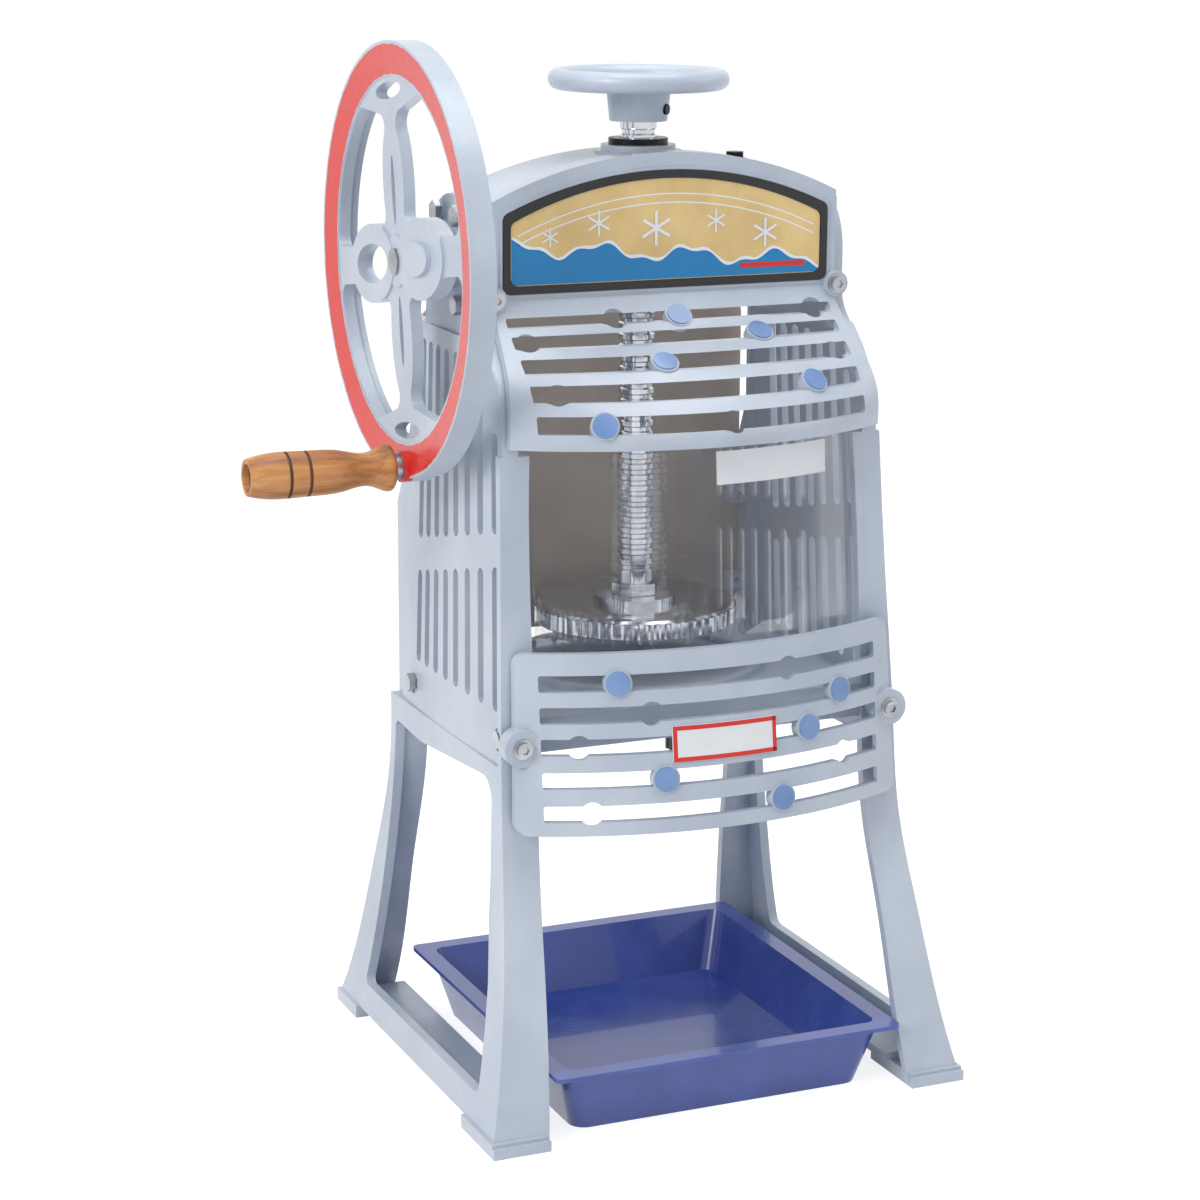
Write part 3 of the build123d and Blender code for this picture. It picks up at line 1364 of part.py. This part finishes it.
# ---------------------------------------------------------------- bolts and screws
def cross_bolts(name, head, flats, radius, tip, places):
    """Hexagon bolts that go into the machine from both sides."""
    with BuildPart() as bolts:
        for side in (-1, 1):
            for y, z, seat in places:
                rod((side * tip, y, z), (side * seat, y, z), radius)
                hexagon((side * seat, y, z), (side * (seat + head), y, z), flats)
    bolts.part.label = name
    export_step(bolts.part, f"parts/{name}.step")


table_places = [(y, table_bolt_z, wing_inside + seat) for y, seat in table_bolts]
hood_places = [(hood_bolt_y, hood_bolt_z, ear_seat)]
bridge_places = [(y, bridge_bolt_z, ear_seat) for y in bridge_bolts_y]
table_tip = table_half - table_bolt_bite
hood_tip = cheek_outside - cheek_wall - 1
bridge_tip = bridge_half - bridge_flange_wall - 1
cross_bolts("table_bolts", table_bolt_head, table_bolt_flats, table_bolt_radius, table_tip, table_places)
cross_bolts("hood_bolts", ear_bolt_head, hood_bolt_flats, hood_bolt_radius, hood_tip, hood_places)
cross_bolts("bridge_bolts", ear_bolt_head, bridge_bolt_flats, bridge_bolt_radius, bridge_tip, bridge_places)

with BuildPart() as roof_bolt:
    rod((*roof_place, bridge_low + bridge_skin), (*roof_place, roof_seat), roof_bolt_radius)
    hexagon((*roof_place, roof_seat), (*roof_place, roof_seat + roof_bolt_head), roof_bolt_flats)
roof_bolt.part.label = "roof_bolt"
export_step(roof_bolt.part, "parts/roof_bolt.step")


def front_screws(prefix, at, z, seat_y, end_y, radius):
    """Pair of socket screws with washers that go in from the front."""
    washer_front = seat_y - washer_wall
    head_front = washer_front - screw_head
    with BuildPart() as washers:
        for x in (-at, at):
            tube((x, washer_front, z), (x, seat_y, z), washer_disc_radius, radius + hole_gap)
    washers.part.label = f"{prefix}_washers"
    export_step(washers.part, f"parts/{prefix}_washers.step")
    with BuildPart() as screws:
        for x in (-at, at):
            rod((x, washer_front, z), (x, end_y, z), radius)
            rod((x, head_front, z), (x, washer_front, z), screw_head_radius)
            with BuildSketch(Plane.XZ.offset(-head_front - screw_head / 2)) as socket:
                with Locations((x, z)):
                    RegularPolygon(socket_radius, 6)
            extrude(socket.sketch, amount=screw_head / 2, mode=Mode.SUBTRACT)
    screws.part.label = f"{prefix}_screws"
    export_step(screws.part, f"parts/{prefix}_screws.step")


hood_screw_end = label_back + hood_screw_length
front_screws("grille", grille_screw_at, grille_middle, grille_ear_front, boss_back, grille_screw_radius)
front_screws("hood", hood_screw_at, hood_screw_z, hood_screw_front, hood_screw_end, hood_screw_radius)

with BuildPart() as cover_screws:
    for side in (-1, 1):
        for z in cover_screws_z:
            x = side * (wing_inside - cover_lug / 2)
            rod((x, cover_face - 4 * cover_screw_radius, z), (x, cover_back, z), cover_screw_radius)
            rod((x, cover_back, z), (x, cover_back + cover_screw_head, z), 2 * cover_screw_radius)
cover_screws.part.label = "cover_screws"
export_step(cover_screws.part, "parts/cover_screws.step")


# ---------------------------------------------------------------- drip tray
def tray_shell(base, top, inset):
    """Tapered block of the tray, from one height to another."""
    wall_half = tray_rim_half - tray_lip
    wall_front = tray_rim_front + tray_lip
    wall_rear = tray_rim_rear - tray_lip
    with BuildPart() as piece:
        for z, half, front, rear in (
            (base, tray_half, tray_front, tray_rear),
            (top, wall_half, wall_front, wall_rear),
        ):
            with BuildSketch(Plane.XY.offset(z)):
                with Locations((0, (front + rear) / 2)):
                    RectangleRounded(2 * (half - inset), rear - front - 2 * inset, tray_corner - inset)
        loft(ruled=True)
    return piece.part


with BuildPart() as tray:
    add(tray_shell(0, tray_height, 0))
    with BuildSketch(Plane.XY.offset(tray_height - tray_lip_wall)):
        with Locations((0, (tray_rim_front + tray_rim_rear) / 2)):
            RectangleRounded(2 * tray_rim_half, tray_rim_rear - tray_rim_front, tray_rim_corner)
    extrude(amount=tray_lip_wall)
    add(tray_shell(tray_wall, tray_height + tray_wall, tray_wall), mode=Mode.SUBTRACT)
tray.part.label = "tray"
export_step(tray.part, "parts/tray.step")
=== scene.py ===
import json
from math import cos, pi, radians, sin

import bpy
from mathutils import Matrix, Vector


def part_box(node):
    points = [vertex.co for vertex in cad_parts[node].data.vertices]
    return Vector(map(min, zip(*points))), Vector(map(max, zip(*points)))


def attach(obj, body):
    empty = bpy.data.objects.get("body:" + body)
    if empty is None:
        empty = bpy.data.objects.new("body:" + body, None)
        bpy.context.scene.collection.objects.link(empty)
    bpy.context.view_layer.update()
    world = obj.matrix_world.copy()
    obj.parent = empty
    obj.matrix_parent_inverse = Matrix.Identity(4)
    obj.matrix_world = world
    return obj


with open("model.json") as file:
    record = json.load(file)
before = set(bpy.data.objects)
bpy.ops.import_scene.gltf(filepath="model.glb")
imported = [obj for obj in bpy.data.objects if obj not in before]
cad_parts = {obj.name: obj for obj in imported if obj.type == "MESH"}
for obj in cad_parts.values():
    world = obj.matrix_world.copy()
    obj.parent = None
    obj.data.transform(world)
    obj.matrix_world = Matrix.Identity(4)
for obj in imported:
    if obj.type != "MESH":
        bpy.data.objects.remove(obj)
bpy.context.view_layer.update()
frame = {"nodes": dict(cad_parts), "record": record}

MM = 0.001

# ---------------------------------------------------------------- camera
YAW = radians(23.63)
PITCH = radians(13.33)
ROLL = radians(0.31)
LENS = 88.53
EYE = Vector((-0.7175, -1.5879, 0.6907))


def place_camera():
    """Camera at the photograph's viewing angle."""
    forward = Vector((sin(YAW) * cos(PITCH), cos(YAW) * cos(PITCH), -sin(PITCH)))
    level = Vector((cos(YAW), -sin(YAW), 0.0))
    upright = level.cross(forward)
    right = cos(ROLL) * level + sin(ROLL) * upright
    up = cos(ROLL) * upright - sin(ROLL) * level
    data = bpy.data.cameras.new("camera")
    data.lens = LENS
    data.sensor_width = 36.0
    data.clip_start = 0.05
    data.clip_end = 50.0
    camera = bpy.data.objects.new("camera", data)
    turn = Matrix((right, up, -forward)).transposed().to_4x4()
    camera.matrix_world = Matrix.Translation(EYE) @ turn
    bpy.context.scene.collection.objects.link(camera)
    bpy.context.scene.camera = camera


place_camera()


# ---------------------------------------------------------------- node helpers
def srgb(red, green, blue):
    """Linear colour from screen values of 0 to 255."""
    channels = [value / 255 for value in (red, green, blue)]
    linear = [c / 12.92 if c <= 0.04045 else ((c + 0.055) / 1.055) ** 2.4 for c in channels]
    return (*linear, 1.0)


class Nodes:
    """Short forms for building a material's nodes."""

    def __init__(self, name):
        self.material = bpy.data.materials.new(name)
        self.material.use_nodes = True
        self.tree = self.material.node_tree
        self.shader = self.tree.nodes["Principled BSDF"]

    def add(self, kind, **values):
        node = self.tree.nodes.new(kind)
        for key, value in values.items():
            setattr(node, key, value)
        return node

    def join(self, source, target):
        self.tree.links.new(source, target)

    def set(self, **values):
        for key, value in values.items():
            self.shader.inputs[key.replace("_", " ")].default_value = value

    def place(self, scale=(1, 1, 1)):
        """The object's own coordinates, stretched."""
        where = self.add("ShaderNodeTexCoord")
        mapping = self.add("ShaderNodeMapping")
        mapping.inputs["Scale"].default_value = scale
        self.join(where.outputs["Object"], mapping.inputs["Vector"])
        return mapping.outputs["Vector"]

    def noise(self, scale, detail=3.0, rough=0.5, place=None):
        node = self.add("ShaderNodeTexNoise")
        node.inputs["Scale"].default_value = scale
        node.inputs["Detail"].default_value = detail
        node.inputs["Roughness"].default_value = rough
        self.join(place or self.place(), node.inputs["Vector"])
        return node.outputs["Fac"]

    def ramp(self, source, *stops):
        node = self.add("ShaderNodeValToRGB")
        ramp = node.color_ramp
        while len(ramp.elements) < len(stops):
            ramp.elements.new(0.5)
        for element, (at, colour) in zip(ramp.elements, stops):
            element.position = at
            element.color = colour
        self.join(source, node.inputs["Fac"])
        return node.outputs["Color"]

    def math(self, operation, first, second=None):
        node = self.add("ShaderNodeMath", operation=operation)
        for socket, value in zip(node.inputs, (first, second)):
            if value is None:
                continue
            if isinstance(value, (int, float)):
                socket.default_value = value
            else:
                self.join(value, socket)
        return node.outputs[0]

    def range(self, source, low, high, to_low, to_high):
        node = self.add("ShaderNodeMapRange")
        ends = (("From Min", low), ("From Max", high), ("To Min", to_low), ("To Max", to_high))
        for key, value in ends:
            node.inputs[key].default_value = value
        self.join(source, node.inputs["Value"])
        return node.outputs["Result"]

    def mix(self, share, first, second):
        node = self.add("ShaderNodeMix", data_type="RGBA")
        if isinstance(share, (int, float)):
            node.inputs["Factor"].default_value = share
        else:
            self.join(share, node.inputs["Factor"])
        for key, value in (("A", first), ("B", second)):
            socket = [s for s in node.inputs if s.name == key and s.type == "RGBA"][0]
            if isinstance(value, tuple):
                socket.default_value = value
            else:
                self.join(value, socket)
        return [s for s in node.outputs if s.type == "RGBA"][0]

    def bump(self, height, strength, distance, normal=None):
        node = self.add("ShaderNodeBump")
        node.inputs["Strength"].default_value = strength
        node.inputs["Distance"].default_value = distance
        self.join(height, node.inputs["Height"])
        if normal:
            self.join(normal, node.inputs["Normal"])
        return node.outputs["Normal"]

    def finish(self, colour=None, rough=None, normal=None):
        for key, value in (("Base Color", colour), ("Roughness", rough), ("Normal", normal)):
            if value is not None:
                self.join(value, self.shader.inputs[key])
        return self.material


# ---------------------------------------------------------------- materials
def cast_paint(name, light, dark, grain=1.0, masks=()):
    """Glossy paint over a cast surface, with red or other colours where a mask says so."""
    n = Nodes(name)
    broad = n.noise(14.0, 3.0, 0.55)
    fine = n.noise(520.0, 4.0, 0.6)
    sand = n.noise(1500.0, 2.0, 0.5)
    colour = n.ramp(broad, (0.3, dark), (0.7, light))
    specks = n.range(n.noise(900.0, 2.0, 0.7), 0.62, 0.75, 0.0, 0.35)
    colour = n.mix(specks, colour, dark)
    for mask, other in masks:
        colour = n.mix(mask(n), colour, other)
    rough = n.range(fine, 0.3, 0.7, 0.28, 0.42)
    waves = n.bump(n.noise(60.0, 2.0, 0.5), 0.12 * grain, 0.003)
    pits = n.bump(fine, 0.30 * grain, 0.0006, waves)
    normal = n.bump(sand, 0.16 * grain, 0.0003, pits)
    n.set(IOR=1.5, Coat_Weight=0.25, Coat_Roughness=0.12)
    return n.finish(colour, rough, normal)


PAINT_LIGHT = srgb(190, 199, 212)
PAINT_DARK = srgb(170, 181, 196)
RED = srgb(214, 44, 36)
WHITE = srgb(232, 234, 238)
BLUE = srgb(0, 128, 188)
AXLE = 0.490
CRANK_PIN = (-0.01628, 0.37414)  # depth and height


def between_radii(low, high, face):
    """Mask for a painted ring round the crank axis, on the flywheel's outer face."""

    def mask(n):
        where = n.add("ShaderNodeSeparateXYZ")
        n.join(n.place(), where.inputs["Vector"])
        y = where.outputs["Y"]
        z = n.math("SUBTRACT", where.outputs["Z"], AXLE)
        radius = n.math("SQRT", n.math("ADD", n.math("MULTIPLY", y, y), n.math("MULTIPLY", z, z)))
        shaky = n.math("ADD", radius, n.range(n.noise(160.0, 3.0, 0.6), 0.0, 1.0, -0.0011, 0.0011))
        inside = n.math("GREATER_THAN", shaky, low)
        outside = n.math("LESS_THAN", shaky, high)
        front = n.math("LESS_THAN", where.outputs["X"], face)
        return n.math("MULTIPLY", n.math("MULTIPLY", inside, outside), front)

    return mask


def near_pin(reach, face):
    """Mask for the painted boss round the crank pin."""

    def mask(n):
        where = n.add("ShaderNodeSeparateXYZ")
        n.join(n.place(), where.inputs["Vector"])
        y = n.math("SUBTRACT", where.outputs["Y"], CRANK_PIN[0])
        z = n.math("SUBTRACT", where.outputs["Z"], CRANK_PIN[1])
        squared = n.math("ADD", n.math("MULTIPLY", y, y), n.math("MULTIPLY", z, z))
        inside = n.math("LESS_THAN", squared, reach**2)
        return n.math("MULTIPLY", inside, n.math("LESS_THAN", where.outputs["X"], face))

    return mask


def metal(name, light, dark, rough=(0.18, 0.34), scratch=0.05, metallic=1.0):
    """Turned or plated metal with fine tool marks."""
    n = Nodes(name)
    cloud = n.noise(90.0, 3.0, 0.6)
    fine = n.noise(2400.0, 2.0, 0.5)
    colour = n.ramp(cloud, (0.3, dark), (0.7, light))
    roughness = n.range(cloud, 0.3, 0.7, *rough)
    n.set(Metallic=metallic)
    return n.finish(colour, roughness, n.bump(fine, scratch, 0.0002))


def plastic(name, light, dark, rough=(0.25, 0.38), **settings):
    """Moulded plastic with a faint grain and tone."""
    n = Nodes(name)
    cloud = n.noise(30.0, 3.0, 0.55)
    fine = n.noise(1800.0, 2.0, 0.5)
    n.set(**settings)
    return n.finish(
        n.ramp(cloud, (0.3, dark), (0.7, light)),
        n.range(cloud, 0.3, 0.7, *rough),
        n.bump(fine, 0.06, 0.0002),
    )


GRIP_LINES = (-0.2127, -0.2245)


def turned_wood(name):
    """Turned hardwood with its grain along the grip and two burnt lines."""
    n = Nodes(name)
    along = n.place(scale=(6.0, 90.0, 90.0))
    rings = n.noise(1.6, 5.0, 0.62, along)
    pores = n.noise(14.0, 3.0, 0.7, n.place(scale=(2.2, 60.0, 60.0)))
    colour = n.ramp(
        rings,
        (0.28, srgb(120, 72, 36)),
        (0.45, srgb(176, 116, 64)),
        (0.58, srgb(196, 138, 84)),
        (0.75, srgb(216, 165, 112)),
    )
    colour = n.mix(n.range(pores, 0.58, 0.72, 0.0, 0.55), colour, srgb(92, 52, 26))
    where = n.add("ShaderNodeSeparateXYZ")
    n.join(n.place(), where.inputs["Vector"])
    for line in GRIP_LINES:
        distance = n.math("ABSOLUTE", n.math("SUBTRACT", where.outputs["X"], line))
        colour = n.mix(n.range(distance, 0.0007, 0.0013, 0.85, 0.0), colour, srgb(58, 32, 16))
    rough = n.range(rings, 0.3, 0.7, 0.36, 0.55)
    return n.finish(colour, rough, n.bump(pores, 0.22, 0.0006))


def clear_sheet(name, tint, see_through, rough=0.06):
    """Clear plastic sheet: mostly see-through, with its gloss kept."""
    n = Nodes(name)
    cloud = n.noise(24.0, 2.0, 0.5)
    n.set(Transmission_Weight=1.0, IOR=1.35, Alpha=see_through)
    return n.finish(
        n.ramp(cloud, (0.2, tint), (0.8, tint)), n.range(cloud, 0.3, 0.7, rough * 0.7, rough * 1.3)
    )


PAINT = cast_paint("paint", PAINT_LIGHT, PAINT_DARK)
WHEEL_PAINT = cast_paint(
    "wheel_paint",
    PAINT_LIGHT,
    PAINT_DARK,
    1.2,
    [(between_radii(0.1052, 0.1222, -0.1500), RED), (near_pin(0.0098, -0.1500), RED)],
)
RUBBER = plastic("rubber", srgb(28, 28, 32), srgb(18, 18, 21), (0.35, 0.5))
GOLD = plastic("gold_panel", srgb(226, 199, 140), srgb(206, 176, 118), (0.3, 0.42), Metallic=0.15)
PLATE_WHITE = plastic("plate_white", srgb(226, 228, 232), srgb(216, 219, 224), (0.3, 0.4))
ACCENT = plastic("accent_blue", srgb(120, 152, 200), srgb(86, 124, 180), (0.18, 0.26), Coat_Weight=0.5)
CLEAR = clear_sheet("clear_window", srgb(236, 240, 246), 0.22)
COVER = plastic("rear_cover", srgb(196, 184, 174), srgb(180, 168, 158), (0.4, 0.5))
WHITE_PRINT = plastic("white_print", WHITE, srgb(224, 227, 232), (0.3, 0.4))
BLUE_PRINT = plastic("blue_print", BLUE, srgb(24, 118, 178), (0.3, 0.4))
RED_PRINT = plastic("red_print", RED, srgb(200, 38, 30), (0.3, 0.4))
TRAY = plastic("tray_blue", srgb(66, 88, 168), srgb(52, 72, 148), (0.2, 0.3), Coat_Weight=0.4)
ZINC = metal("zinc", srgb(196, 198, 202), srgb(158, 160, 166))
BLACK_STEEL = metal("black_steel", srgb(52, 52, 56), srgb(30, 30, 33), (0.3, 0.45))
BRONZE = metal("bronze", srgb(190, 148, 92), srgb(160, 118, 68))
STEEL = metal("steel", srgb(188, 190, 194), srgb(142, 144, 150))
IRON = metal("gear_iron", srgb(150, 152, 158), srgb(110, 112, 118), (0.3, 0.45))
CHROME = metal("chrome", srgb(222, 224, 228), srgb(196, 199, 205), (0.06, 0.14), 0.02)
WOOD = turned_wood("wood")
KNOB = plastic("knob_plastic", srgb(44, 44, 48), srgb(30, 30, 33), (0.35, 0.5))
RED_PAINT = cast_paint("red_paint", RED, srgb(196, 34, 28))

BY_SLOT = {
    "paint": PAINT,
    "rubber": RUBBER,
    "label": GOLD,
    "plate": PLATE_WHITE,
    "accent": ACCENT,
    "clear_plastic": CLEAR,
    "cover_plastic": COVER,
    "tray_plastic": TRAY,
    "zinc": ZINC,
    "black_steel": BLACK_STEEL,
    "bronze": BRONZE,
    "steel": STEEL,
    "gear_iron": IRON,
    "chrome": CHROME,
    "wood": WOOD,
    "knob_plastic": KNOB,
}


def dress(name, material):
    """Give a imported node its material."""
    mesh_object = frame["nodes"][name]
    for slot in mesh_object.material_slots:
        slot.material = material
    if not mesh_object.material_slots:
        mesh_object.data.materials.append(material)


for part in frame["record"]["subparts"]:
    dress(part["node"], BY_SLOT[part["material_slot"]])
dress("flywheel", WHEEL_PAINT)
bpy.context.view_layer.update()


# ---------------------------------------------------------------- prints and small visible pieces
def made(name, points, faces, material, body="frame"):
    """Mesh piece that rides on a body."""
    mesh = bpy.data.meshes.new(name)
    mesh.from_pydata(points, [], faces)
    mesh.materials.append(material)
    piece = bpy.data.objects.new(name, mesh)
    bpy.context.scene.collection.objects.link(piece)
    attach(piece, body)
    return piece


def on_front(node, x, z, lift):
    """Point just in front of a node's front face at x and z, in metres."""
    hit, spot, way, _ = frame["nodes"][node].ray_cast(Vector((x, -0.4, z)), Vector((0, 1, 0)))
    return spot + way * lift if hit else Vector((x, 0, z))


def printed(name, node, corners, material, columns=24, lift=0.00012):
    """Thin printed strip laid on a node's front, between two corners (x, z) in millimetres."""
    (left, low), (right, high) = corners
    points = []
    for row in (low, high):
        for column in range(columns + 1):
            across = left + (right - left) * column / columns
            points.append(on_front(node, across * MM, row * MM, lift))
    width = columns + 1
    faces = [(c, c + 1, c + 1 + width, c + width) for c in range(columns)]
    return made(name, points, faces, material)


PLATE_LOW = (-35.0, 215.75)
PLATE_HIGH = (30.0, 236.25)
BORDER = 2.6
INSET = 0.05  # keeps the border's outer edge off the plate's edge
STICKER = ((3.0, 368.0), (80.0, 387.0))
STICKER_LIFT = 0.0002
for name, low, high in (
    ("plate_border_low", PLATE_LOW, (PLATE_HIGH[0], PLATE_LOW[1] + BORDER)),
    ("plate_border_high", (PLATE_LOW[0], PLATE_HIGH[1] - BORDER), PLATE_HIGH),
    ("plate_border_left", PLATE_LOW, (PLATE_LOW[0] + BORDER, PLATE_HIGH[1])),
    ("plate_border_right", (PLATE_HIGH[0] - BORDER, PLATE_LOW[1]), PLATE_HIGH),
):
    corners = ((low[0] + INSET, low[1] + INSET), (high[0] - INSET, high[1] - INSET))
    printed(name, "grille_plate", corners, RED_PRINT)

printed(
    "window_sticker", "front_window", STICKER, WHITE_PRINT, columns=40, lift=STICKER_LIFT
)

LABEL_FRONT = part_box("label_panel")[0][1]
LAYER = 0.00006  # step between one print and the next
LABEL_HALF = 97.6
LABEL_BASE = 478.6
LABEL_SHOULDER = 513.0
LABEL_CROWN = 536.0


def label_top(x):
    """Height of the label's arched upper edge at x."""
    rise = LABEL_CROWN - LABEL_SHOULDER
    radius = (LABEL_HALF**2 + rise**2) / (2 * rise)
    return LABEL_CROWN - radius + (radius**2 - x**2) ** 0.5


def flat(name, outline, material, layer):
    """Flat printed shape on the label; outline is (x, z) in millimetres."""
    depth = LABEL_FRONT - layer * LAYER
    points = [(x * MM, depth, z * MM) for x, z in outline]
    return made(name, points, [tuple(range(len(points)))], material)


def band(name, low, high, material, layer, start=-LABEL_HALF, end=LABEL_HALF, steps=120):
    """Band between two height functions of x."""
    places = [start + (end - start) * step / steps for step in range(steps + 1)]
    points = []
    for level in (low, high):
        points += [(x * MM, LABEL_FRONT - layer * LAYER, level(x) * MM) for x in places]
    width = steps + 1
    faces = [(c, c + 1, c + 1 + width, c + width) for c in range(steps)]
    return made(name, points, faces, material)


def wave(x):
    """Crest line of the blue wave band, higher on the left."""
    swell = 4.0 * sin(2 * pi * x / 56.0) + 1.6 * sin(2 * pi * x / 21.0)
    return LABEL_BASE + 14.0 + swell - 7.0 * x / LABEL_HALF


band("label_wave", lambda x: LABEL_BASE, wave, BLUE_PRINT, 1)
band("label_foam", wave, lambda x: wave(x) + 1.3 + 0.8 * abs(sin(pi * x / 14.0)), WHITE_PRINT, 2)
for number, drop in enumerate((9.0, 14.0)):
    band(
        f"label_line_{number}",
        lambda x: label_top(x) - drop,
        lambda x: label_top(x) - drop + 0.8,
        WHITE_PRINT,
        1,
        -LABEL_HALF + 4,
        LABEL_HALF - 4,
    )
band("label_stripe", lambda x: LABEL_BASE + 4.0, lambda x: LABEL_BASE + 7.0, RED_PRINT, 3, 46.0, 88.0, 8)


ARM_SHARE = 0.09  # half the width of a crystal's arm, as a share of its reach
CRYSTALS = (  # x, z and reach
    (-74.0, 505.0, 5.5),
    (-44.0, 512.0, 7.5),
    (-8.0, 508.0, 10.0),
    (30.0, 511.0, 6.5),
    (62.0, 503.0, 8.5),
)


def crystal(name, x, z, reach):
    """Plain six-armed snow crystal."""
    for arm in range(3):
        turn = radians(60 * arm + 30)
        along = (cos(turn), sin(turn))
        half = reach * ARM_SHARE
        side = (-along[1] * half, along[0] * half)
        outline = []
        for end, edge in ((-1, -1), (1, -1), (1, 1), (-1, 1)):
            across = x + end * along[0] * reach + edge * side[0]
            height = z + end * along[1] * reach + edge * side[1]
            outline.append((across, height))
        flat(f"{name}_{arm}", outline, WHITE_PRINT, 4 + arm)


for number, (x, z, reach) in enumerate(CRYSTALS):
    crystal(f"label_crystal_{number}", x, z, reach)


def ribbed_ring(name, inner, outer, low, high, ribs, material, body):
    """Ring round the feed screw's axis with upright ribs, in millimetres."""
    points = []
    count = 4 * ribs
    for level in (low, high):
        for step in range(count):
            turn = 2 * pi * step / count
            radius = outer if step % 4 < 2 else inner
            points.append((radius * cos(turn) * MM, radius * sin(turn) * MM, level * MM))
    faces = [(s, (s + 1) % count, (s + 1) % count + count, s + count) for s in range(count)]
    return made(name, points, faces, material, body)


ribbed_ring("press_disc_ribs", 60.9, 61.8, 268.2, 277.2, 60, CHROME, "press")
ribbed_ring("hub_paint_ring", 19.35, 19.4, 583.2, 585.0, 30, RED_PAINT, "screw")


# ---------------------------------------------------------------- floor, backdrop and light
FLOOR_HALF = 6.0
FLOOR_DIM = 0.42
FLOOR_GLOW = 0.82
WORLD_LIGHT = 0.5
LAMP_AIM = (0, 0, 0.3)
LAMPS = (  # name, place, size and power
    ("key", (-2.0, -0.9, 1.5), 1.1, 26.0),
    ("top", (0.1, -0.1, 2.2), 1.5, 22.0),
    ("side", (1.9, -0.8, 1.2), 1.2, 6.0),
)


def studio():
    """Pale floor that takes the shadow, white surroundings and soft lamps."""
    mesh = bpy.data.meshes.new("floor")
    corners = [(x * FLOOR_HALF, y * FLOOR_HALF, 0) for x, y in ((-1, -1), (1, -1), (1, 1), (-1, 1))]
    mesh.from_pydata(corners, [], [(0, 1, 2, 3)])
    floor = bpy.data.objects.new("floor", mesh)
    bpy.context.scene.collection.objects.link(floor)
    n = Nodes("floor")
    n.finish(n.ramp(n.noise(3.0), (0.3, srgb(238, 239, 241)), (0.7, srgb(242, 243, 245))))
    n.set(Roughness=0.6)
    dim = n.add("ShaderNodeBsdfDiffuse")
    dim.inputs["Color"].default_value = (FLOOR_DIM, FLOOR_DIM, FLOOR_DIM, 1.0)
    glow = n.add("ShaderNodeEmission")
    glow.inputs["Strength"].default_value = FLOOR_GLOW
    both_ways = n.add("ShaderNodeAddShader")
    n.join(dim.outputs[0], both_ways.inputs[0])
    n.join(glow.outputs[0], both_ways.inputs[1])
    ray = n.add("ShaderNodeLightPath")
    seen = n.math("MAXIMUM", ray.outputs["Is Camera Ray"], ray.outputs["Is Glossy Ray"])
    seen = n.math("MAXIMUM", seen, ray.outputs["Is Transmission Ray"])
    choice = n.add("ShaderNodeMixShader")
    n.join(seen, choice.inputs["Fac"])
    n.join(n.shader.outputs[0], choice.inputs[1])
    n.join(both_ways.outputs[0], choice.inputs[2])
    n.join(choice.outputs[0], n.tree.nodes["Material Output"].inputs["Surface"])
    mesh.materials.append(n.material)

    world = bpy.data.worlds.new("world")
    bpy.context.scene.world = world
    world.use_nodes = True
    tree = world.node_tree
    tree.nodes.clear()
    path = tree.nodes.new("ShaderNodeLightPath")
    seen = tree.nodes.new("ShaderNodeMath")
    seen.operation = "MAXIMUM"
    tree.links.new(path.outputs["Is Camera Ray"], seen.inputs[0])
    tree.links.new(path.outputs["Is Glossy Ray"], seen.inputs[1])
    both = tree.nodes.new("ShaderNodeMath")
    both.operation = "MAXIMUM"
    tree.links.new(seen.outputs[0], both.inputs[0])
    tree.links.new(path.outputs["Is Transmission Ray"], both.inputs[1])
    strength = tree.nodes.new("ShaderNodeMapRange")
    strength.inputs["To Min"].default_value = WORLD_LIGHT
    strength.inputs["To Max"].default_value = 1.0
    tree.links.new(both.outputs[0], strength.inputs["Value"])
    back = tree.nodes.new("ShaderNodeBackground")
    back.inputs["Color"].default_value = (1, 1, 1, 1)
    tree.links.new(strength.outputs["Result"], back.inputs["Strength"])
    out = tree.nodes.new("ShaderNodeOutputWorld")
    tree.links.new(back.outputs[0], out.inputs["Surface"])

    for name, spot, size, power in LAMPS:
        data = bpy.data.lights.new(name, "AREA")
        data.size = size
        data.energy = power
        lamp = bpy.data.objects.new(name, data)
        way = Vector(LAMP_AIM) - Vector(spot)
        turn = way.to_track_quat("-Z", "Y").to_matrix().to_4x4()
        lamp.matrix_world = Matrix.Translation(spot) @ turn
        bpy.context.scene.collection.objects.link(lamp)
    bpy.context.scene.view_settings.view_transform = "Standard"


studio()
